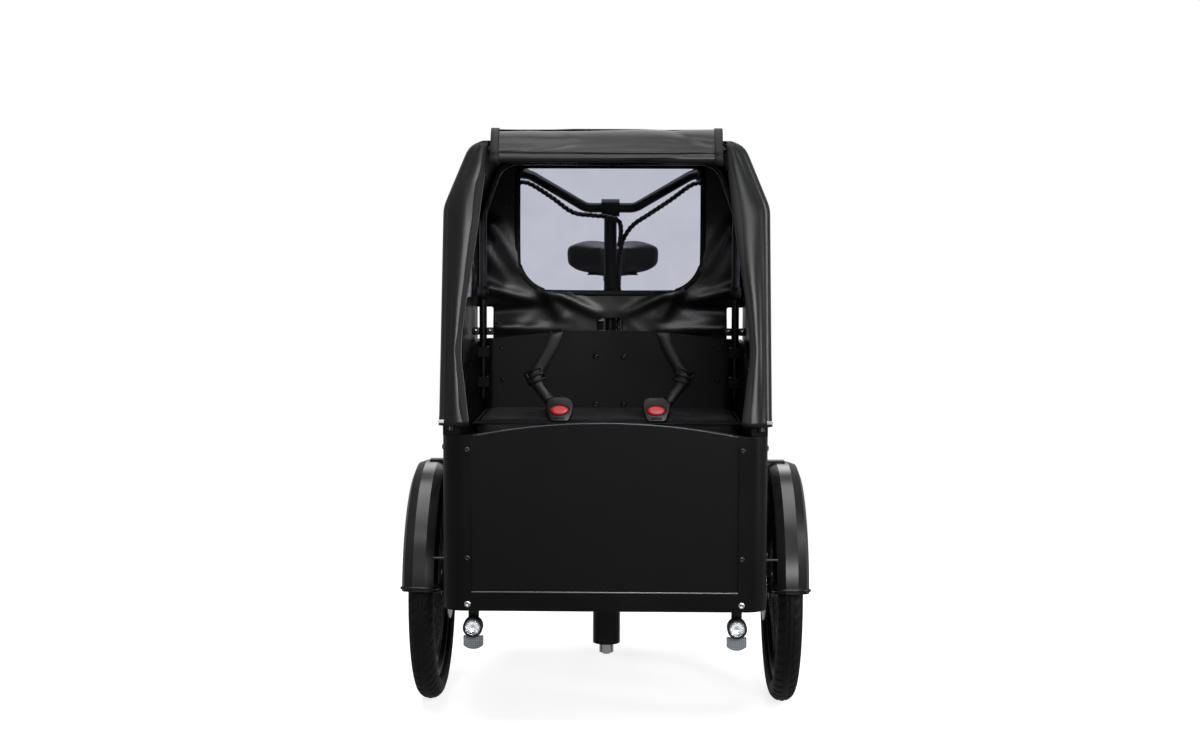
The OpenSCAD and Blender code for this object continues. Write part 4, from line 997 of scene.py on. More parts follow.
@dataclass
class Canopy(Piece):
    """Tent over the box: cloth over roof, sides and front strips, rear wall, windows, bindings, rolled door.

    Tapes are given by width and thickness. A fold of the rear wall runs between two points, across and up,
    and has a lift and a width. The wing edge is the doorway's half width at a height.
    """

    cloth_mm: float = 2.0
    flap_mm: float = 1.6
    film_mm: float = 0.6
    shell_cut: tuple[float, float] = (1760.0, 990.0)
    wall_cut: tuple[float, float] = (680.0, 470.0)
    section_steps: int = 96
    depth_steps: int = 91
    shoulder_radius: float = 70.0
    roof_radius: float = 46.0
    corner_radius: float = 20.0
    strip_belly: float = 5.0
    strip_fold: float = 1.8
    strip_crease: float = 1.0
    roof_sag: float = 13.0
    side_sag: float = 4.0
    side_fold: float = 2.5
    side_crease: float = 1.6
    side_window: Window = Window((-758.0, 892.0), (-292.0, 1078.0), 60.0)
    rear_window: Window = Window((-230.0, 904.0), (230.0, 1216.0), 92.0, 24.0)
    post_notch: Window = Window((-31.0, 700.0), (31.0, 836.0), 14.0)
    hoop_notches: tuple[Window, ...] = tuple(
        Window((side * 322.0 - 26.0, 740.0), (side * 322.0 + 26.0, 864.0), 5.0) for side in SIDES
    )
    wall_foot_z: float = 774.0
    wall_cols: int = 61
    wall_inset: float = 1.5
    wall_drape: float = 2.0
    wall_swell: float = 1.5
    fold_shift: float = 9.0
    pane_rings: int = 14
    roll_middle: tuple[float, float] = (-960.0, 1218.0)
    roll_steps: int = 141
    zip_tape: tuple[float, float] = (20.0, 3.0)
    hem_tape: tuple[float, float] = (12.0, 3.0)
    side_tape: tuple[float, float] = (14.0, 3.4)
    rear_tape: tuple[float, float] = (15.0, 4.4)
    door_band: tuple[float, float] = (17.0, 2.4)
    roll_section: Outline = (
        (-938, 1212), (-938, 1240), (-944, 1253), (-954, 1254), (-964, 1243), (-975, 1222), (-982, 1204),
        (-980, 1200), (-982.5, 1194), (-981, 1186), (-974, 1181.5), (-964, 1182), (-952, 1190),
    )
    flap_line: tuple[Point, ...] = (
        (-1, -946.0, 1254.2), (-1, -925.0, 1249.0), (-1, -900.0, 1239.0), (-1, -880.0, 1233.0),
    )
    folds: tuple[tuple[Point, Point, float, float], ...] = (
        ((-299, 1069), (-236, 965), 9.0, 20.0),
        ((-318, 1010), (-262, 930), 7.0, 18.0),
        ((-310, 912), (-205, 884), 8.0, 15.0),
        ((-300, 850), (-180, 862), -7.0, 16.0),
        ((-160, 902), (-122, 838), 8.0, 14.0),
        ((-132, 897), (-34, 850), 8.0, 13.0),
        ((-280, 812), (-120, 808), 6.0, 14.0),
    )
    wing_edge: Outline = ((652, 276), (804, 296), (904, 286), (1028, 268), (1179, 250), (1232, 246))

    def build(self) -> None:
        """Makes every part of the canopy."""
        self.shell()
        self.rear_wall()
        self.windows()
        self.door_roll()
        self.bindings()

    def profile(self) -> np.ndarray:
        """Half section from hem to the middle of the roof, with rounded shoulders.

        Returns:
            Half width and height, one point a row.
        """
        corners = np.array(
            [(SHOULDER_X + 1.0, HEM_Z), (SHOULDER_X, SHOULDER_Z), (ROOF_X, ROOF_Z), (0.0, ROOF_Z + 1.0)]
        )
        points = [corners[0]]
        for i, radius in ((1, self.shoulder_radius), (2, self.roof_radius)):
            a, b, c = corners[i - 1 : i + 2]
            u, v = (a - b) / np.linalg.norm(a - b), (c - b) / np.linalg.norm(c - b)
            bend = math.acos(np.clip(u @ v, -1, 1))
            cut = radius / math.tan(bend / 2)
            for t in np.linspace(0, 1, 9):
                points.append((1 - t) ** 2 * (b + u * cut) + 2 * t * (1 - t) * b + t**2 * (b + v * cut))
        points.append(corners[3])
        return evenly(np.array(points), self.section_steps)

    def row(self, x: float, z: float) -> list[tuple[float, float, float]]:
        """One line of cloth from the zip edge round the front corner and back to the rear seam.

        Args:
            x: Half width of the section here.
            z: Height of the section here.

        Returns:
            Points in millimetres.
        """
        front = lean_y(z)
        line = []
        reach = max(0.0, x - read_off(self.wing_edge, z)) if z < ROOF_Z - 0.5 else 0.0
        r = min(self.corner_radius, reach * 0.8)
        for t in np.linspace(0, 1, 14):
            belly = self.strip_belly * math.sin(math.pi * t) * min(1.0, reach / 50)
            line.append((x - reach + (reach - r) * t, front - belly, z))
        for t in np.linspace(0, 1, 8)[1:]:
            a = math.pi / 2 * t
            line.append((x - r + r * math.sin(a), front + r - r * math.cos(a), z))
        start = front + r
        for t in np.linspace(0, 1, self.depth_steps)[1:]:
            line.append((x, start + (CANOPY_BACK_Y - start) * t, z))
        return line

    def slack(self, p: np.ndarray) -> np.ndarray:
        """Moves cloth off its nominal line: sag between the hoops, a pull at the hem, and soft folds.

        Args:
            p: Points of the cloth.

        Returns:
            Moved points.
        """
        q = p.copy()
        x, y, z = p.T
        front = lean_y(z)
        between = ramp(y, front + 25, REAR_HOOP_Y - 15)
        behind = ramp(y, REAR_HOOP_Y + 15, CANOPY_BACK_Y - 5)
        span = np.sin(np.pi * between) ** 2 + 0.7 * np.sin(np.pi * behind) ** 2
        arch = np.cos(np.clip(x / ROOF_X, -1, 1) * math.pi / 2) ** 0.5
        q[:, 2] -= ramp(z, 1150, 1230) * span * self.roof_sag * arch
        side = np.sign(x) * ramp(z, 1110, 1050)
        free = ramp(y, front + 30, front + 90) * ramp(y, CANOPY_BACK_Y, CANOPY_BACK_Y - 40)
        low = ramp(z, 980, 650)
        folds = self.side_fold * hash_noise(stacked(y, z / 3.2, np.sign(x) * 500), 90, 3)
        fine = np.abs(hash_noise(stacked(y + z * 0.5, z * 0.45 - y * 0.2, x * 0.01), 46, 8))
        sag = self.side_sag * span * (1 - low)
        q[:, 0] += side * free * (folds * (0.4 + low) - self.side_crease * fine - sag)
        strip = ramp(y, front + 20, front + 4) * ramp(z, 1200, 1140)
        edge = ramp(np.abs(x), SHOULDER_X - 12, SHOULDER_X - 42)
        wave = self.strip_fold * hash_noise(stacked(x * 2, z / 2.4, 0.0), 66, 5)
        crease = np.abs(hash_noise(stacked(x + z * 0.6, z * 0.5 - x, 0.0), 54, 11))
        q[:, 1] += strip * edge * (wave - self.strip_crease * crease)
        return q

    def shell(self) -> None:
        """Makes the cloth over roof, sides and front strips, with its side windows cut out."""
        half = self.profile()
        rows = [(-x, z) for x, z in half] + [(x, z) for x, z in half[::-1][1:]]
        verts = []
        for x, z in rows:
            verts += [(math.copysign(px, x) if x else 0.0, py, pz) for px, py, pz in self.row(abs(x), z)]
        faces = grid_faces(len(rows), len(verts) // len(rows))
        shell = clean(mesh_object("canopy_shell", self.slack(np.array(verts)), faces, CANOPY_CLOTH), 0.3)
        refine(shell, "SOLIDIFY", thickness=self.cloth_mm * MM, offset=-1.0)
        self.cut(shell, "x", self.side_window, (-400, 400))
        settle(shell, Body.BOX, "canopy_cloth", "canopy_roof", "canopy_sides", "canopy_wings")
        declare_sheet(shell, self.shell_cut, "stretched", "canopy_hoops")

    def cut(self, piece: bpy.types.Object, axis: str, window: Window, span: tuple[float, float]) -> None:
        """Cuts an opening through cloth.

        Args:
            piece: The cloth.
            axis: Direction of the cut.
            window: Its outline across that direction.
            span: Its ends along that direction.
        """
        place = (lambda a, b, c: (c, a, b)) if axis == "x" else (lambda a, b, c: (a, c, b))
        tool = slab("window_tool", window.outline(), span, place, CANOPY_CLOTH)
        refine(piece, "BOOLEAN", operation="DIFFERENCE", solver="EXACT", object=tool)
        bpy.data.objects.remove(tool)

    def rear_wall(self) -> None:
        """Makes the rear wall behind the box, with its window cut out and its foot loose."""
        half = self.profile()
        heights = np.concatenate([np.linspace(self.wall_foot_z, 1090, 60), np.linspace(1096, ROOF_Z - 1, 30)])
        verts = []
        for z in heights:
            wide = float(np.interp(z, half[:, 1], half[:, 0])) - self.wall_inset
            shares = [2 * k / (self.wall_cols - 1) - 1 for k in range(self.wall_cols)]
            verts += [(wide * share, CANOPY_BACK_Y - self.wall_inset, z) for share in shares]
        p = np.array(verts)
        x, z = p[:, 0], p[:, 2]
        loose = ramp(z, 1000, 800) * ramp(np.abs(x), SHOULDER_X, SHOULDER_X - 60)
        drape = hash_noise(stacked(x - (z - 780) * 0.5 * np.sign(x), z * 0.35, 0.0), 70, 21)
        crease = np.abs(hash_noise(stacked(x * 0.6 + z * np.sign(x) * 0.7, z * 0.5, 0.0), 38, 4))
        swell = self.wall_swell * hash_noise(p, 160, 2) * ramp(z, ROOF_Z, ROOF_Z - 60)
        p[:, 1] += loose * (self.wall_drape * (drape - crease) + 1.0) + swell
        for start, end, lift, wide in self.folds:
            for side in SIDES:
                shift = 0.0 if side < 0 else self.fold_shift
                a, b = (np.array((-side * q[0] + shift, q[1])) for q in (start, end))
                way = b - a
                along = np.clip(((x - a[0]) * way[0] + (z - a[1]) * way[1]) / (way @ way), 0, 1)
                off = np.hypot(x - a[0] - along * way[0], z - a[1] - along * way[1])
                p[:, 1] -= lift * np.exp(-((off / wide) ** 2)) * (1 - 0.6 * along)
        faces = grid_faces(len(heights), self.wall_cols)
        wall = clean(mesh_object("canopy_rear_wall", p, faces, CANOPY_CLOTH), 0.1)
        refine(wall, "SOLIDIFY", thickness=self.cloth_mm * MM, offset=0.0)
        for opening in (self.rear_window, self.post_notch, *self.hoop_notches):
            self.cut(wall, "y", opening, (-230, -120))
        settle(wall, Body.BOX, "canopy_cloth", "canopy_back")
        declare_sheet(wall, self.wall_cut, "stretched", "canopy_hoops")

    def windows(self) -> None:
        """Makes the film windows of the rear and side walls, with soft ripples."""
        inner_x, inner_y = SHOULDER_X - 2.0, CANOPY_BACK_Y - self.wall_inset
        panes = [
            self.pane(self.side_window, lambda a, b, bow, s=side: (s * (inner_x - 4.0 * bow), a, b))
            for side in SIDES
        ]
        panes.append(self.pane(self.rear_window, lambda a, b, bow: (a, inner_y + 1.5 * bow, b)))
        settle(join("window_film", panes), Body.BOX, "window_film", "windows")

    def pane(self, window: Window, place: Callable[[float, float, float], Point]) -> bpy.types.Object:
        """Fills a window, with a seam's width round it, with rings of film.

        Args:
            window: The window.
            place: Gives a point from two coordinates and the bow of the film.

        Returns:
            The pane.
        """
        edge = np.array(window.outline(margin=6.0, rounder=4.0))
        mid = edge.mean(axis=0)
        n, rings = len(edge), self.pane_rings
        verts = []
        for k in range(rings):
            share = 1 - k / rings
            for a, b in mid + (edge - mid) * share:
                ripple = hash_noise(np.array([[a, b * 0.4, 7.0]]), 85, 17)[0] * (1 - share**3)
                verts.append(place(a, b, (1 - share**2) * 0.8 + ripple))
        faces = ring_faces(rings, n, False, False) + [[(rings - 1) * n + k for k in range(n)]]
        pane = clean(mesh_object("pane", verts, faces, WINDOW_FILM), 0.05)
        return refine(pane, "SOLIDIFY", thickness=self.film_mm * MM, offset=0.0)

    def door_roll(self) -> None:
        """Makes the rolled front door: a flattened roll of cloth with creases, a top flap and bound ends."""
        stations = np.linspace(-ROLL_X, ROLL_X, self.roll_steps)
        loop = smooth_path([(0, y, z) for y, z in self.roll_section], 3.0, True)[:, 1:]
        cy, cz = self.roll_middle
        verts = np.array([(x, y, z) for x in stations for y, z in loop])
        x, y, z = verts.T.copy()
        soft = hash_noise(stacked(x, y * 0.8, z * 0.8), 70, 31)
        slant = np.abs(hash_noise(stacked(x * 0.35 + z * 1.1, z * 0.9 - x * 0.12, 0.0), 54, 13))
        inward = 2.4 + 2.2 * soft + 3.0 * (1 - slant) ** 3
        away = np.hypot(y - cy, z - cz)
        verts[:, 1] -= (y - cy) / away * inward
        verts[:, 2] -= (z - cz) / away * inward
        faces = ring_faces(len(stations), len(loop), False, True)
        roll = clean(mesh_object("canopy_door_roll", verts, faces, CANOPY_CLOTH), 0.05)
        path = smooth_path(self.flap_line, 5.0)
        cover = np.array([(x, y, z) for _, y, z in path for x in stations])
        cover[:, 2] += 1.4 * hash_noise(cover, 60, 9) - 0.8
        faces = grid_faces(len(path), len(stations))
        flap = clean(mesh_object("door_flap", cover, faces, CANOPY_CLOTH), 0.05)
        refine(flap, "SOLIDIFY", thickness=self.flap_mm * MM, offset=0.0)
        around = [(cy + (y - cy) * 1.015, cz + (z - cz) * 1.012) for y, z in self.roll_section]
        tape = flat_section(*self.door_band)
        bands = []
        for side in SIDES:
            ring = [(side * (ROLL_X - 8), y, z) for y, z in around]
            bands.append(sweep("door_band", ring, tape, CANOPY_BINDING, 4.0, True, (0, 0, 1)))
        settle(join("canopy_door", [roll, flap] + bands), Body.BOX, "canopy_cloth", "canopy_roll")

    def bindings(self) -> None:
        """Sews tape round the zip edges, hems and windows."""
        strips = []
        out, ahead, back = (1, 0, 0), (0, -1, 0.2), (0, 1, 0)
        for side in SIDES:
            heights = np.linspace(HEM_Z + 2, ROOF_Z - 6, 14)
            zip_edge = [(side * read_off(self.wing_edge, z), lean_y(z) - 0.5, z) for z in heights]
            band = [(x + side * 9, y - 1.5, z) for x, y, z in zip_edge]
            tape = flat_section(*self.zip_tape)
            strips.append(sweep("zip_tape", band, tape, CANOPY_BINDING, 9.0, up=ahead))
            strips.append(sweep("zip_piping", zip_edge, round_section(2.2, 8), CABLE_WRAP, 9.0, up=ahead))
            depths = np.linspace(lean_y(HEM_Z) + 22, CANOPY_BACK_Y - 14, 12)
            hem = [(side * (SHOULDER_X + 0.6), y, HEM_Z + 4) for y in depths]
            tape = flat_section(*self.hem_tape)
            strips.append(sweep("hem_tape", hem, tape, CANOPY_BINDING, 12.0, up=out))
            loop = self.side_window.outline(margin=4.0, rounder=2.0, steps=4)
            ring = [(side * (SHOULDER_X + 0.2), y, z) for y, z in loop]
            tape = flat_section(*self.side_tape)
            strips.append(sweep("window_tape", ring, tape, CANOPY_BINDING, 8.0, True, out))
        loop = self.rear_window.outline(margin=4.0, rounder=2.0, steps=5)
        ring = [(x, CANOPY_BACK_Y - 2.0, z) for x, z in loop]
        tape = flat_section(*self.rear_tape)
        strips.append(sweep("window_tape", ring, tape, CANOPY_BINDING, 8.0, True, back))
        settle(join("canopy_bindings", strips), Body.BOX, "canopy_cloth")


@dataclass
class Pad(Piece):
    """A stuffed pad: a rounded block blown up as cloth under pressure, with piping round its edges."""

    name: str
    node: str
    low: Point
    high: Point
    corner: float
    body: Body
    slot: str
    finish: Finish
    voxel_mm: float = 6.0
    crown_mm: float = 6.0
    pressure: float = 4.0
    cloth_steps: int = 20
    most_move_mm: float = 7.0
    seam_mm: float = 5.0
    wrinkle_mm: float = 0.9
    softness: float = 0.8
    piping_radius: float = 2.3
    piping_inset: float = 2.4

    def build(self) -> None:
        """Blows the pad up, keeps it inside its place, and sews its piping."""
        pad = self.block()
        refine(pad, "REMESH", mode="VOXEL", voxel_size=self.voxel_mm * MM)
        self.inflate(pad)
        self.shape(pad)
        shade_smooth(pad)
        refine(pad, "SUBSURF", levels=1, render_levels=1)
        pad = join(self.name, [pad] + self.piping())
        settle(pad, self.body, self.slot, self.node)

    def block(self) -> bpy.types.Object:
        """Makes the rounded block that the pad starts from.

        Returns:
            The block.
        """
        loop = rounded_loop(self.low, self.high, self.corner, 6)
        span = (self.low[2], self.high[2] - self.crown_mm)
        return slab(self.name, loop, span, lambda a, b, c: (a, b, c), self.finish)

    def inflate(self, pad: bpy.types.Object) -> None:
        """Runs Blender's cloth with inner pressure, and keeps a capped part of the movement.

        Args:
            pad: The block, as even cells.
        """
        before = mesh_points(pad)
        mod = pad.modifiers.new("cloth", "CLOTH")
        mod.settings.use_pressure = True
        mod.settings.uniform_pressure_force = self.pressure
        mod.settings.effector_weights.gravity = 0.0
        mod.settings.quality = 4
        scene = bpy.context.scene
        for step in range(1, self.cloth_steps + 1):
            scene.frame_set(step)
        flatten(pad)
        move = mesh_points(pad) - before
        size = np.maximum(np.linalg.norm(move, axis=1), 1e-9)
        move *= (np.minimum(size, self.most_move_mm * MM) / size)[:, None]
        pad.data.vertices.foreach_set("co", (before + move).ravel())
        scene.frame_set(1)

    def shape(self, pad: bpy.types.Object) -> None:
        """Crowns the top, presses the stitched lines in, and keeps the pad in its place.

        Args:
            pad: The pad.
        """
        p = mesh_points(pad) / MM
        low, high = np.array(self.low), np.array(self.high)
        u = (p - low) / (high - low)
        top = ramp(u[:, 2], 0.45, 0.85)
        across, deep = u[:, 0].clip(0, 1), u[:, 1].clip(0, 1)
        crown = 4 * across * (1 - across) * 4 * deep * (1 - deep)
        p[:, 2] += top * self.crown_mm * (crown**0.35 - 0.55)
        for at in (1 / 3, 2 / 3):
            groove = np.exp(-(((p[:, 0] - low[0] - at * (high[0] - low[0])) / self.seam_mm) ** 2))
            p[:, 2] -= top * groove * self.seam_mm
        p[:, 2] += top * self.wrinkle_mm * hash_noise(p, 48, 6)
        p = np.clip(p, low + 0.4, high - np.array([0.4, 0.4, 0.2]))
        pad.data.vertices.foreach_set("co", (p * MM).ravel())

    def piping(self) -> list[bpy.types.Object]:
        """Makes the cords sewn round the top and bottom edges.

        Returns:
            The cords.
        """
        inset = self.piping_inset
        low, high = (self.low[0] + inset, self.low[1] + inset), (self.high[0] - inset, self.high[1] - inset)
        loop = rounded_loop(low, high, self.corner, 6)
        cord = round_section(self.piping_radius, 8)
        return [
            sweep("piping", [(x, y, z) for x, y in loop], cord, self.finish, 7.0, True, (0, 0, 1))
            for z in (self.low[2] + 5, self.high[2] - 9)
        ]


@dataclass
class Saddle(Piece):
    """Wide comfort saddle: a padded top with a valley, over a rolled rim.

    Its tables run from nose to tail, as shares of the length: half widths, heights of the top, depths of the
    skirt, and the strength of the valley and of the lobes beside it.
    """

    nose_y: float = 378.0
    length: float = 266.0
    rim_z: float = 1000.0
    top_z: float = 1039.6
    stations: int = 60
    around: int = 48
    valley_depth: float = 7.0
    valley_half: float = 22.0
    lobe_height: float = 6.0
    lobe_half: float = 44.0
    lobe_x: float = 76.0
    softness: float = 0.9
    plan: Outline = (
        (0, 4), (0.04, 17), (0.12, 24), (0.35, 38), (0.55, 84), (0.72, 126), (0.86, 137), (0.96, 118),
        (1.0, 74),
    )
    crown: Outline = ((0, 1008), (0.1, 1020), (0.5, 1022), (0.8, 1034), (1.0, 1030))
    skirt: Outline = ((0, 10), (0.1, 22), (0.45, 48), (0.75, 62), (1.0, 50))
    valley: Outline = ((0, 0.2), (0.3, 1), (0.6, 1), (1, 0.7))
    lobes: Outline = ((0.4, 0), (0.75, 1), (1, 0.6))

    def build(self) -> None:
        """Lofts the saddle from its plan and its crown."""
        verts = []
        for t in np.linspace(0, 1, self.stations):
            verts += self.ring(float(t))
        faces = ring_faces(self.stations, self.around, False, True)
        saddle = clean(mesh_object("saddle_padded", verts, faces, SADDLE_SKIN), 0.05)
        refine(saddle, "SUBSURF", levels=1, render_levels=1)
        settle(saddle, Body.SEAT, "saddle_cover", "saddle")

    def ring(self, t: float) -> list[tuple[float, float, float]]:
        """Section of the saddle at a share of its length.

        Args:
            t: The share, from the nose.

        Returns:
            Points round the section.
        """
        half, rise, skirt = (read_off(table, t) for table in (self.plan, self.crown, self.skirt))
        valley = self.valley_depth * read_off(self.valley, t)
        lobe = self.lobe_height * read_off(self.lobes, t)
        points = []
        for k in range(self.around):
            a = 2 * math.pi * k / self.around
            s, c = math.cos(a), math.sin(a)
            x = half * math.copysign(abs(s) ** 0.8, s)
            if c > 0:
                dip = valley * math.exp(-((x / self.valley_half) ** 2))
                swell = lobe * math.exp(-(((abs(x) - self.lobe_x) / self.lobe_half) ** 2))
                z = self.rim_z + (rise - self.rim_z + swell - dip) * c**0.55
            else:
                z = self.rim_z - skirt * abs(c) ** 0.45
            points.append((x, self.nose_y + self.length * t, min(z, self.top_z)))
        return points


@dataclass
class Harness(Piece):
    """Two lap straps with adjusters and buckles on the bench.

    Routes are given for side 1. The buckle's outline, button and rim are given from its foot.
    """

    strap_width: float = 33.0
    strap_narrowing: float = 9.0
    strap_mm: float = 1.8
    strap_route: tuple[Point, ...] = (
        (133, -181, 776), (133, -181, 800), (133.5, -189, 806.5), (135, -197.5, 800), (146, -199, 766),
        (170, -200, 722), (187, -201, 692), (180, -202, 668), (158, -205, 640), (138, -215, 622),
        (130, -250, 620), (121, -400, 620.5), (114, -478, 621), (113, -498, 630),
    )
    tail_tape: tuple[float, float] = (30.0, 2.0)
    tail_route: tuple[Point, ...] = (
        (96, -494, 648), (112, -489, 652), (130, -484, 640), (150, -480, 624), (178, -478, 619.5),
        (196, -476, 618.8),
    )
    slide_at: tuple[float, float, float] = (187.0, -203.5, 692.0)
    slide_turn: float = 24.0
    slide_bevel: float = 1.6
    buckle_at: tuple[float, float, float] = (113.0, -520.0, 607.0)
    buckle_lean: float = -17.0
    buckle_half: float = 8.5
    buckle_bevel: float = 2.6
    buckle_outline: Outline = (
        (-20, 0), (20, 0), (25, 8), (31, 28), (33, 42), (27, 55), (14, 59),
        (-14, 59), (-27, 55), (-33, 42), (-31, 28), (-25, 8),
    )
    button_at: tuple[float, float, float] = (0.0, -8.2, 27.0)
    button: Outline = ((0, -2), (8, -2), (9, -1), (9, 1.2), (8.2, 2.6), (6, 3.1), (0, 2.4))
    rim: Outline = ((9.4, -1), (11.6, -1), (11.6, 0.6), (10.6, 1.4), (9.6, 0.6), (9.4, -1))

    def build(self) -> None:
        """Makes straps, then buckles with their red buttons."""
        straps, buckles = [], []
        for side in SIDES:
            straps.append(self.strap(side))
            straps += self.adjuster(side)
            tail, tape = mirrored(self.tail_route, side), flat_section(*self.tail_tape)
            straps.append(sweep("strap_tail", tail, tape, WEBBING, 5.0, up=(0, -0.6, 1)))
            buckles += self.buckle(side)
        settle(join("harness_webbing", straps), Body.BOX, "webbing", "harness_straps")
        settle(join("harness_locks", buckles), Body.BOX, "buckle_plastic", "harness_buckles")

    def strap(self, side: int) -> bpy.types.Object:
        """Webbing over the panel's top, down its face to the adjuster, and over the cushion to the buckle.

        Args:
            side: Which seat, -1 or 1.

        Returns:
            The strap.
        """
        path = smooth_path(mirrored(self.strap_route, side), 5.0)
        tangent = np.gradient(path, axis=0)
        verts = []
        for at, along in zip(path, tangent):
            up = self.facing(at[1], at[2])
            across = np.cross(along, up)
            across /= np.linalg.norm(across)
            wave = 1.2 * math.sin(at[2] / 17) * (1 if at[2] > 640 else 0)
            wide = self.strap_width - self.strap_narrowing * float(ramp(at[2], 684, 664))
            for s, t in flat_section(wide, self.strap_mm)(0, 0):
                verts.append(at + across * s + up * (t + wave * (2 * s / self.strap_width) ** 2 * 0.5))
        return clean(mesh_object("strap", verts, ring_faces(len(path), 8, False, True), WEBBING), 0.02)

    def facing(self, y: float, z: float) -> np.ndarray:
        """Direction away from what the strap lies on.

        Args:
            y: Depth of a point of the strap.
            z: Its height.

        Returns:
            A unit direction.
        """
        over = ramp(z, 796, 806)
        flat = ramp(y, -203, -225) if z < 660 else 0.0
        ahead = 0.6 if y > -189 and z > 770 else -1.0
        way = np.array([0.0, ahead * (1 - over) * (1 - flat), max(over, flat)])
        return way / max(np.linalg.norm(way), 1e-6)

    def adjuster(self, side: int) -> list[bpy.types.Object]:
        """Ladder-lock slide: a moulded frame with a middle bar.

        Args:
            side: Which seat, -1 or 1.

        Returns:
            Its bars.
        """
        x, y, z = self.slide_at
        turn = placed((side * x, y, z), side * self.slide_turn, "Y")
        bars = [("slide_bar", (0, 0, up), (44, 7, 6)) for up in (-15, 0, 15)]
        bars += [("slide_side", (off, 0, 0), (6, 6.4, 34)) for off in (-20, 20)]
        return [
            bevelled(name, turn @ Matrix.Translation(at), size, self.slide_bevel, BUCKLE_ABS)
            for name, at, size in bars
        ]

    def buckle(self, side: int) -> list[bpy.types.Object]:
        """Push-button buckle: a shield-shaped case that leans back, a rimmed red button and a release slot.

        Args:
            side: Which seat, -1 or 1.

        Returns:
            The pieces of the buckle.
        """
        x, y, z = self.buckle_at
        place = placed((side * x, y, z), self.buckle_lean)
        span = (-self.buckle_half, self.buckle_half)
        case = slab(
            "buckle_case", self.buckle_outline, span, lambda a, b, c: place @ Vector((a, c, b)), BUCKLE_ABS
        )
        edges = {"limit_method": "ANGLE", "angle_limit": math.radians(40)}
        refine(case, "BEVEL", width=self.buckle_bevel * MM, segments=4, **edges)
        shade_smooth(case)
        face = place @ placed(self.button_at, 90)
        oval, ring = (face @ Matrix.Diagonal((wide, 1.2, 1.0, 1.0)) for wide in (2.3, 2.1))
        button = lathe("buckle_button", self.button, BUTTON_RED, 40, oval)
        rim = lathe("button_rim", self.rim, BUCKLE_ABS, 40, ring)
        slot = bevelled("release_slot", place @ placed((0, -8.2, 8)), (24, 3.0, 6), 1.2, DARK_ALLOY)
        return [case, button, rim, slot]


@dataclass
class Cables(Piece):
    """Brake, display and motor cables: single cables from the levers, gathered in two spiral-wrapped bundles.

    Routes are given from the middle of the handlebar.
    """

    core_radius: float = 5.2
    tape_mm: float = 1.3
    wrap_pitch: float = 13.0
    wrap_sides: int = 14
    cable_radius: float = 2.6
    left_route: tuple[Point, ...] = (
        (-236, -8, 62), (-206, -19.4, 60), (-150, -23.4, 26), (-96, -27.4, -12), (-46, -28.4, -20),
        (-4, -29.4, -24), (22, -27.4, -36), (26.8, -13.4, -62), (22.8, -6, -98),
    )
    right_route: tuple[Point, ...] = (
        (236, -8, 62), (206, -19.4, 58), (150, -23.4, 18), (96, -23.4, -18), (58, -13.4, -44),
        (33.8, -6, -78), (25.8, -2, -112), (21.8, 0, -150), (21.8, 0, -240), (21.8, 0, -270),
        (21.8, -2, -314), (21.8, -2, -370),
    )
    starts: tuple[tuple[float, Point], ...] = ((4.0, (296, 62, 84)), (-3.0, (300, 78, 80)))

    def build(self) -> None:
        """Makes the wrapped bundles and the single cables that run into them."""
        x, y, z = BAR
        pieces = []
        for route in (self.left_route, self.right_route):
            way = [(x + a, y + b, z + c) for a, b, c in route]
            pieces.append(sweep("bundle", way, self.wrap, CABLE_WRAP, 1.6))
        for side in SIDES:
            for lift, start in self.starts:
                bend = [(288, 36, 70 + lift), (262, 10, 62 + lift), (236, -8 + lift * 0.4, 62 + lift * 0.6)]
                way = [(side * a, y + b, z + c) for a, b, c in [start, *bend, (222, -14, 61)]]
                pieces.append(sweep("cable", way, round_section(self.cable_radius, 10), CABLE_WRAP, 4.0))
        settle(join("wrapped_cables", pieces), Body.BOX, "cable_black", "cables")

    def wrap(self, along: float, share: float) -> list[tuple[float, float]]:
        """Section of the spiral wrap: a round with one raised turn of tape.

        Args:
            along: Distance along the bundle.
            share: The same as a share of its length, which the wrap has no use for.

        Returns:
            The section's points.
        """
        outline = []
        for k in range(self.wrap_sides):
            a = 2 * math.pi * k / self.wrap_sides
            rise = 0.5 + 1.4 * math.cos(a - 2 * math.pi * along / self.wrap_pitch)
            r = self.core_radius + self.tape_mm * min(1.0, max(0.0, rise))
            outline.append((r * math.cos(a), r * math.sin(a)))
        return outline


@dataclass
class Lamps(Piece):
    """Lenses, bowls and bezels of the two headlamps, as radius and height from the lamp's seat."""

    centre: tuple[float, float, float] = (274.0, -975.0, 226.0)
    bowl: Outline = ((0, 0.4), (4, 0.5), (9, 2.0), (13, 4.4), (15.6, 7.0), (16.2, 7.0), (16.2, 0.2), (0, 0.2))
    emitter: Outline = ((0, 0.3), (3.4, 0.3), (3.4, 2.2), (2.6, 3.2), (0, 3.4))
    lens: Outline = ((0, 8.6), (6, 8.3), (12, 7.5), (16.0, 6.2), (16.0, 5.4), (12, 6.4), (6, 7.2), (0, 7.5))
    bezel: Outline = (
        (16.3, 4.0), (20.0, 4.0), (20.3, 6.0), (19.4, 8.4), (17.6, 9.2), (16.4, 8.4), (16.3, 4.0),
    )

    def build(self) -> None:
        """Turns the parts about the lamp's axis, which points ahead."""
        x, y, z = self.centre
        parts = []
        for side in SIDES:
            place = placed((side * x, y, z), 90)
            parts.append(lathe("bowl", self.bowl, BOWL_CHROME, 48, place))
            parts.append(lathe("emitter", self.emitter, REFLECT_TAPE, 24, place))
            parts.append(lathe("lens", self.lens, LENS_CLEAR, 48, place))
            parts.append(lathe("bezel", self.bezel, MOULDED_ABS, 48, place))
        settle(join("headlamp_optics", parts), Body.BOX, "lamp_lens", "lamp_lenses")


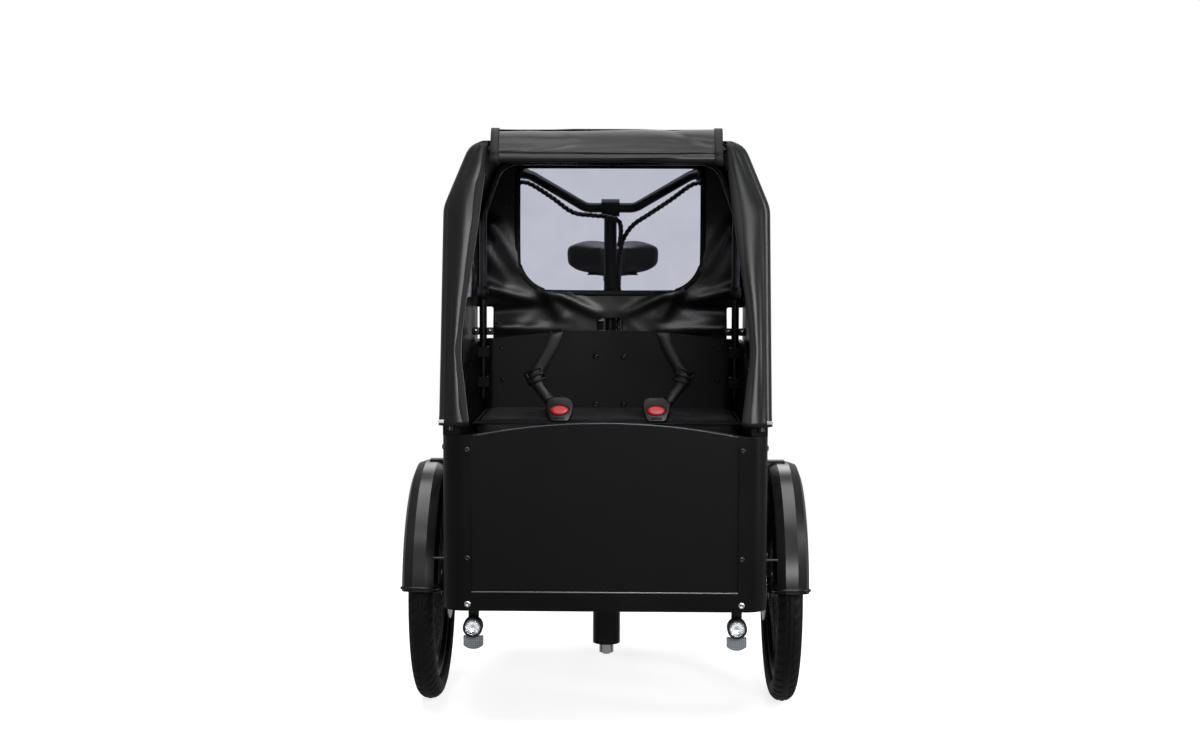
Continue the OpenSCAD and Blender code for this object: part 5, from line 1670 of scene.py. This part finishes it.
@dataclass
class BoltSet:
    """Bolts of one kind on one body, each with its place and the way it faces."""

    name: str
    body: Body
    slot: str
    finish: Finish
    radius: float
    places: list[tuple[Point, Point]] = field(default_factory=list)


@dataclass
class Bolts(Piece):
    """Screws and dome bolts, set out on points by one Geometry Nodes group.

    The head is a dome with a socket, on the XY plane, in shares of its radius.
    """

    head: Outline = (
        (0.0, 0.12), (0.42, 0.12), (0.46, 0.5), (0.62, 0.5), (0.84, 0.38), (0.97, 0.16),
        (1.0, 0.0), (1.0, -0.12), (0.0, -0.12),
    )
    head_steps: int = 24
    corner_x: float = 277.0
    side_x: float = 330.0
    corner_reach: float = 53.0
    board_mm: float = 15.0
    foot_z: float = 292.0
    rail_z: float = 296.0

    def build(self) -> None:
        """Makes the head once, and a set of bolts for each kind."""
        unit = [(r / MM, h / MM) for r, h in self.head]
        head = lathe("bolt_head", unit, DARK_ZINC, self.head_steps, Matrix.Identity(4))
        for kind in self.sets():
            self.place(kind, head)
        bpy.data.objects.remove(head)

    def sets(self) -> list[BoltSet]:
        """Lists the bolts that the photograph shows, and their twins on the sides it does not.

        Returns:
            The sets.
        """
        front, back = (0, -1, 0), (0, 1, 0)
        corner = BoltSet("corner_screws", Body.BOX, "profile_black", DARK_ZINC, 5.8)
        foot = BoltSet("rail_bolts", Body.BOX, "bright_steel", ZINC, 7.0)
        panel = BoltSet("panel_bolts", Body.BOX, "bright_steel", DARK_ZINC, 8.0)
        inner_y = BOX_BACK_Y - self.board_mm
        for side in SIDES:
            out, edge, wall = (side, 0, 0), side * self.corner_x, side * self.side_x
            for z in (606, 386):
                corner.places.append(((edge, FRONT_Y, z), front))
                corner.places.append(((wall, FRONT_Y + self.corner_reach, z), out))
            for z in (740, 562, 386):
                corner.places.append(((edge, BOX_BACK_Y, z), back))
                corner.places.append(((wall, BOX_BACK_Y - self.corner_reach, z), out))
            for z in (760, 680):
                corner.places.append(((side * 272, inner_y, z), front))
            foot.places.append(((edge, FRONT_Y, self.foot_z), front))
            foot.places.append(((edge, BOX_BACK_Y, self.foot_z), back))
            for y in (FRONT_Y + 150, AXLE_Y + 190, BOX_BACK_Y - 150):
                foot.places.append(((wall, y, self.rail_z), out))
            for z in (741, 620):
                panel.places.append(((side * 35, inner_y, z), front))
        return [corner, foot, panel]

    def place(self, kind: BoltSet, head: bpy.types.Object) -> None:
        """Sets out one kind of bolt.

        Args:
            kind: The bolts and where they go.
            head: The head, one metre in radius.
        """
        seat = bpy.data.meshes.new(kind.name)
        seat.from_pydata([Vector(at) * MM for at, _ in kind.places], [], [])
        aim = seat.attributes.new("aim", "FLOAT_VECTOR", "POINT")
        aim.data.foreach_set("vector", [c for _, way in kind.places for c in way])
        bolts = linked(kind.name, seat)
        mod = bolts.modifiers.new("bolts", "NODES")
        mod.node_group = self.group()
        given = {"Head": head, "Radius": kind.radius * MM, "Finish": kind.finish.material()}
        for item in mod.node_group.interface.items_tree:
            if item.name in given:
                mod[item.identifier] = given[item.name]
        flatten(bolts)
        settle(bolts, kind.body, kind.slot)

    def group(self) -> bpy.types.NodeTree:
        """Builds once the group that turns a head along each point's aim, sizes it and gives its material.

        Returns:
            The group.
        """
        known = bpy.data.node_groups.get("bolts_on_points")
        if known:
            return known
        tree = bpy.data.node_groups.new("bolts_on_points", "GeometryNodeTree")
        sockets = (("Points", "Geometry"), ("Head", "Object"), ("Radius", "Float"), ("Finish", "Material"))
        for name, kind in sockets:
            tree.interface.new_socket(name, in_out="INPUT", socket_type=f"NodeSocket{kind}")
        tree.interface.new_socket("Bolts", in_out="OUTPUT", socket_type="NodeSocketGeometry")
        given = add_node(tree, "NodeGroupInput").outputs
        head = add_node(tree, "GeometryNodeObjectInfo", Object=given["Head"])
        aim = add_node(tree, "GeometryNodeInputNamedAttribute", {"data_type": "FLOAT_VECTOR"}, Name="aim")
        along = aim.outputs["Attribute"]
        turn = add_node(tree, "FunctionNodeAlignRotationToVector", {"axis": "Z"}, Vector=along)
        spread = add_node(
            tree,
            "GeometryNodeInstanceOnPoints",
            Points=given["Points"],
            Instance=head.outputs["Geometry"],
            Rotation=turn.outputs["Rotation"],
            Scale=given["Radius"],
        )
        real = add_node(tree, "GeometryNodeRealizeInstances", Geometry=spread.outputs["Instances"])
        solid = real.outputs["Geometry"]
        done = add_node(tree, "GeometryNodeSetMaterial", Geometry=solid, Material=given["Finish"])
        add_node(tree, "NodeGroupOutput", Bolts=done.outputs["Geometry"])
        return tree


@dataclass
class Trim(Piece):
    """Small trim: lines of the front panel with a bead of lighter metal that paints the highlight on its
    arched edge, mudguard lips, pole fittings, reflective tabs.
    """

    line_z: float = 316.6
    line_size: tuple[float, float, float] = (540.0, 2.8, 2.8)
    lip_at: tuple[float, float] = (269.2, 474.0)
    lip_size: tuple[float, float, float] = (1.8, 2.6, 308.0)
    arch_half: float = 270.0
    arch_rise: float = 27.0
    arch_top_z: float = 659.4
    bead_radius: float = 2.1
    guard_turn: float = 8.6
    guard_lip_radius: float = 3.4
    guard_section: Outline = (
        (255, -38), (264, -36), (272, -30), (277.5, -13), (277.5, 13), (272, 30), (264, 36), (255, 38),
    )
    pole_x: float = 304.0
    collar_z: float = 905.0
    collar: Outline = ((9.3, -15), (12.2, -15), (12.8, 0), (12.2, 15), (9.3, 15), (9.3, -15))
    clip_z: float = 812.0
    clip_size: tuple[float, float, float] = (18.0, 16.0, 18.0)
    clip_bolt: Outline = ((0, 1.6), (2.4, 1.6), (3.6, 0.6), (3.8, 0), (0, 0))
    side_tab: tuple[float, float, float] = (1.4, 40.0, 13.0)
    front_tab: tuple[float, float, float] = (17.0, 1.4, 6.5)
    front_tab_turn: float = -38.0

    def build(self) -> None:
        """Makes the trim, one piece of each kind."""
        settle(join("rail_lines", self.panel_lines()), Body.BOX, "profile_black")
        settle(join("guard_lips", [self.guard_lip(side) for side in SIDES]), Body.BOX, "guard_plastic")
        settle(join("pole_fittings", self.pole_fittings()), Body.BOX, "hoop_black")
        settle(join("hem_tabs", self.hem_tabs()), Body.BOX, "canopy_cloth")

    def panel_lines(self) -> list[bpy.types.Object]:
        """Bright line over the bottom rail, lips beside the corner profiles, and a bead on the arched edge
        whose lighter metal paints in that edge's highlight.

        Returns:
            The strips.
        """
        place = placed((0, FRONT_Y + 1.7, self.line_z))
        lines = [bevelled("rail_line", place, self.line_size, 0.8, SATIN_ALLOY)]
        x, z = self.lip_at
        for side in SIDES:
            place = placed((side * x, FRONT_Y + 1.8, z))
            lines.append(bevelled("profile_lip", place, self.lip_size, 0.7, DARK_ALLOY))
        # The bead along the arch is a lighter metal than the black panel. It paints in the highlight of the
        # panel's rounded top edge, and the lamps add their own light to it.
        bend = (self.arch_half**2 + self.arch_rise**2) / (2 * self.arch_rise)
        across = np.linspace(2 - self.arch_half, self.arch_half - 2, 24)
        arch = [(x, FRONT_Y + 4.4, self.arch_top_z - bend + math.sqrt(bend**2 - x**2)) for x in across]
        lines.append(sweep("panel_edge", arch, round_section(self.bead_radius, 10), DARK_ZINC, 12.0))
        return lines

    def guard_lip(self, side: int) -> bpy.types.Object:
        """Rolled lip across the front end of a mudguard.

        Args:
            side: Which wheel, -1 or 1.

        Returns:
            The lip.
        """
        turn = math.radians(self.guard_turn)
        ahead, up = math.cos(turn), math.sin(turn)
        way = [(side * WHEEL_X + s, AXLE_Y - r * ahead, AXLE_Z + r * up) for r, s in self.guard_section]
        return sweep("guard_lip", way, round_section(self.guard_lip_radius, 10), GUARD_PLASTIC, 4.0)

    def pole_fittings(self) -> list[bpy.types.Object]:
        """Collars on the rear poles, and bolted clips at their feet.

        Returns:
            The fittings.
        """
        fittings = []
        for side in SIDES:
            pole = placed((side * self.pole_x, REAR_HOOP_Y, self.collar_z))
            fittings.append(lathe("pole_collar", self.collar, CANOPY_BINDING, 32, pole))
            for off in (-17, 17):
                clip = placed((side * self.pole_x + off, REAR_HOOP_Y - 4, self.clip_z))
                fittings.append(bevelled("pole_clip", clip, self.clip_size, 3.0, MOULDED_ABS))
                bolt = clip @ placed((0, -8, 2), 90)
                fittings.append(lathe("pole_clip_bolt", self.clip_bolt, ZINC, 16, bolt))
        return fittings

    def hem_tabs(self) -> list[bpy.types.Object]:
        """Reflective tabs at the front hems, on the side and round the corner.

        Returns:
            The tabs.
        """
        tabs = []
        for side in SIDES:
            place = placed((side * (SHOULDER_X + 1.4), lean_y(662) + 46, 662))
            tabs.append(bevelled("hem_tab", place, self.side_tab, 0.5, REFLECT_TAPE))
            place = placed((side * (SHOULDER_X - 8), lean_y(660) + 1.0, 661), side * self.front_tab_turn, "Z")
            tabs.append(bevelled("hem_tab", place, self.front_tab, 0.5, REFLECT_TAPE))
        return tabs


NODE_FINISHES: tuple[tuple[Finish, tuple[str, ...]], ...] = (
    (DARK_ALLOY, ("front_rim_left", "front_rim_right", "rear_rim", "front_hub_left", "front_hub_right")),
    (DARK_ALLOY, ("rear_hub_motor", "crankset", "brake_calipers", "brake_lever_left", "brake_lever_right")),
    (BRUSHED_STEEL, ("front_disc_left", "front_disc_right")),
    (CHAIN_STEEL, ("rear_sprocket", "chain")),
    (COATED_TUBE, ("frame", "chain_stays", "seat_stays", "carrier", "subframe")),
    (COATED_TUBE, ("handlebar_post", "handlebar", "canopy_hoops")),
    (ZINC, ("rear_axle", "kingpin")),
    (SATIN_ALLOY, ("seat_post",)),
    (MATT_STEEL, ("saddle_springs",)),
    (MOULDED_ABS, ("battery", "chain_guard", "pedal_left", "pedal_right", "headlamps", "bar_fittings")),
    (GUARD_PLASTIC, ("rear_mudguard", "front_mudguards")),
    (LAMP_RED, ("rear_lamp",)),
    (FACED_BOARD, ("box_floor", "box_front", "box_sides", "bench")),
    (PRESSED_BOARD, ("box_back",)),
    (COATED_PROFILE, ("corner_posts", "bottom_rails", "hoop_feet")),
    (PRISM_GREY, ("reflectors",)),
    (GRIP_RUBBER, ("grips",)),
)


@dataclass(frozen=True)
class AreaLight:
    """A soft light: its place and target in metres, its size in metres and its power in watts."""

    name: str
    at: tuple[float, float, float]
    towards: tuple[float, float, float]
    size: tuple[float, float]
    power: float


@dataclass
class Studio:
    """White cutout studio: camera, soft lights, pale floor and white background. Lengths are in metres.

    The camera's place, turn and lens come from a fit to points of the photograph. The turn is a pan, a tilt
    and a roll in degrees. Gloss sees only a share of the white, because all of it turns black finishes grey.
    """

    camera_at: tuple[float, float, float] = (0.04285, -4.36997, 1.0036)
    camera_turn: tuple[float, float, float] = (0.921, -4.106, -0.194)
    lens_mm: float = 49.767
    sensor_mm: float = 36.0
    rig: tuple[AreaLight, ...] = (
        AreaLight("top", (0.0, -0.6, 3.6), (0.0, -0.3, 0.7), (3.0, 3.0), 150.0),
        AreaLight("left", (-3.0, -2.0, 1.7), (0.0, -0.6, 0.8), (0.6, 2.4), 4.0),
        AreaLight("right", (3.0, -1.9, 1.7), (0.0, -0.6, 0.8), (0.7, 2.4), 55.0),
        AreaLight("front", (0.9, -5.0, 2.1), (0.0, -0.3, 0.9), (2.2, 0.8), 92.0),
        AreaLight("boom", (-0.4, -3.1, 3.3), (0.0, -0.95, 1.2), (1.8, 0.35), 24.0),
        AreaLight("rear", (0.0, 3.4, 3.0), (0.0, 0.3, 0.8), (2.6, 1.6), 60.0),
    )
    floor_half: float = 4.0
    floor_fade: tuple[float, float] = (0.9, 1.7)
    floor_glow: float = 0.82
    surround: float = 0.07
    gloss_share: float = 0.3

    def build(self) -> None:
        """Sets up camera, lights, floor and world."""
        self.camera()
        self.lights()
        self.floor()
        self.world()
        bpy.context.scene.view_settings.view_transform = "Standard"

    def camera(self) -> None:
        """Places the camera found from the photograph: in front, near 4.4 m off, about a metre up."""
        data = bpy.data.cameras.new("camera")
        data.sensor_fit = "HORIZONTAL"
        data.sensor_width = self.sensor_mm
        data.lens = self.lens_mm
        cam = linked("camera", data)
        pan, tilt, roll = self.camera_turn
        turn = placed(self.camera_at, pan, "Z") @ placed((0, 0, 0), tilt, "X") @ placed((0, 0, 0), roll, "Y")
        cam.matrix_world = turn @ placed((0, 0, 0), 90, "X")
        bpy.context.scene.camera = cam

    def lights(self) -> None:
        """Hangs the soft lights above, at the sides, in front and behind, as in a cutout studio."""
        for light in self.rig:
            data = bpy.data.lights.new(light.name, "AREA")
            data.shape = "RECTANGLE"
            data.energy = light.power
            data.size, data.size_y = light.size
            lamp = linked(light.name, data)
            lamp.location = light.at
            aim = Vector(light.towards) - Vector(light.at)
            lamp.rotation_euler = aim.to_track_quat("-Z", "Y").to_euler()

    def floor(self) -> None:
        """Lays the pale floor that keeps the contact shadow and fades out to the white background."""
        mat = bpy.data.materials.new("studio_floor")
        mat.use_nodes = True
        tree = mat.node_tree
        shader = tree.nodes["Principled BSDF"]
        shader.inputs["Base Color"].default_value = linear("#b8b8b8")
        shader.inputs["Roughness"].default_value = 0.95
        shader.inputs["Emission Color"].default_value = linear("#ffffff")
        shader.inputs["Emission Strength"].default_value = self.floor_glow
        shader.inputs["Specular IOR Level"].default_value = 0.0
        coords = add_node(tree, "ShaderNodeTexCoord").outputs["Object"]
        out = add_node(tree, "ShaderNodeVectorMath", {"operation": "LENGTH"}, i0=coords).outputs["Value"]
        fade = {"From_Min": self.floor_fade[0], "From_Max": self.floor_fade[1], "To_Min": 1.0, "To_Max": 0.0}
        keep = add_node(tree, "ShaderNodeMapRange", Value=out, **fade)
        tree.links.new(keep.outputs["Result"], shader.inputs["Alpha"])
        half = self.floor_half
        mesh = bpy.data.meshes.new("studio_floor")
        corners = [(-half, -half, 0), (half, -half, 0), (half, half, 0), (-half, half, 0)]
        mesh.from_pydata(corners, [], [(0, 1, 2, 3)])
        mesh.materials.append(mat)
        floor = linked("studio_floor", mesh)
        floor.visible_diffuse = floor.visible_glossy = False

    def world(self) -> None:
        """Gives the camera a white background, also through film, gloss a share of it, and else dim light."""
        world = bpy.data.worlds.new("studio")
        bpy.context.scene.world = world
        world.use_nodes = True
        tree = world.node_tree
        tree.nodes.clear()
        ray = add_node(tree, "ShaderNodeLightPath").outputs
        seen = add_node(tree, "ShaderNodeBackground", Color=linear("#ffffff"), Strength=1.0)
        soft = add_node(tree, "ShaderNodeBackground", Color=linear("#f2f4f7"), Strength=self.surround)
        larger, times = {"operation": "MAXIMUM"}, {"operation": "MULTIPLY"}
        straight, through = ray["Is Camera Ray"], ray["Is Transmission Ray"]
        clear = add_node(tree, "ShaderNodeMath", larger, i0=straight, i1=through)
        gloss = add_node(tree, "ShaderNodeMath", times, i0=ray["Is Glossy Ray"], i1=self.gloss_share)
        shown = add_node(tree, "ShaderNodeMath", larger, i0=clear.outputs[0], i1=gloss.outputs[0])
        shaders = {"i1": soft.outputs[0], "i2": seen.outputs[0]}
        mix = add_node(tree, "ShaderNodeMixShader", Fac=shown.outputs[0], **shaders)
        add_node(tree, "ShaderNodeOutputWorld", Surface=mix.outputs[0])


PIECES: tuple[Piece, ...] = (
    Tyre("front_tyre_left", Body.WHEEL_LEFT, (WHEEL_X, AXLE_Y, AXLE_Z), 516.0, 55.0, 406.0, 56),
    Tyre("front_tyre_right", Body.WHEEL_RIGHT, (-WHEEL_X, AXLE_Y, AXLE_Z), 516.0, 55.0, 406.0, 56),
    Tyre("rear_tyre", Body.WHEEL_REAR, REAR_AXLE, 654.0, 50.0, 559.0, 70),
    Canopy(),
    Pad(
        "bench_cushion", "cushion", (-312.0, -538.0, 565.2), (312.0, -199.0, 615.0), 31.0,
        Body.BOX, "cushion_cover", SEAT_WEAVE,
    ),
    Saddle(),
    Harness(),
    Cables(),
    Lamps(),
    Bolts(),
    Trim(),
)


def main() -> None:
    """Builds the cargo bike's looks around its frame, and stages it as the photograph shows it."""
    logging.basicConfig(level=logging.INFO, format="%(name)s %(message)s")
    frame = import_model()
    for finish, nodes in NODE_FINISHES:
        for node in nodes:
            mesh = frame["nodes"][node].data
            mesh.materials.clear()
            mesh.materials.append(finish.material())
    for piece in PIECES:
        piece.build()
    Studio().build()


if __name__ == "__main__":
    main()
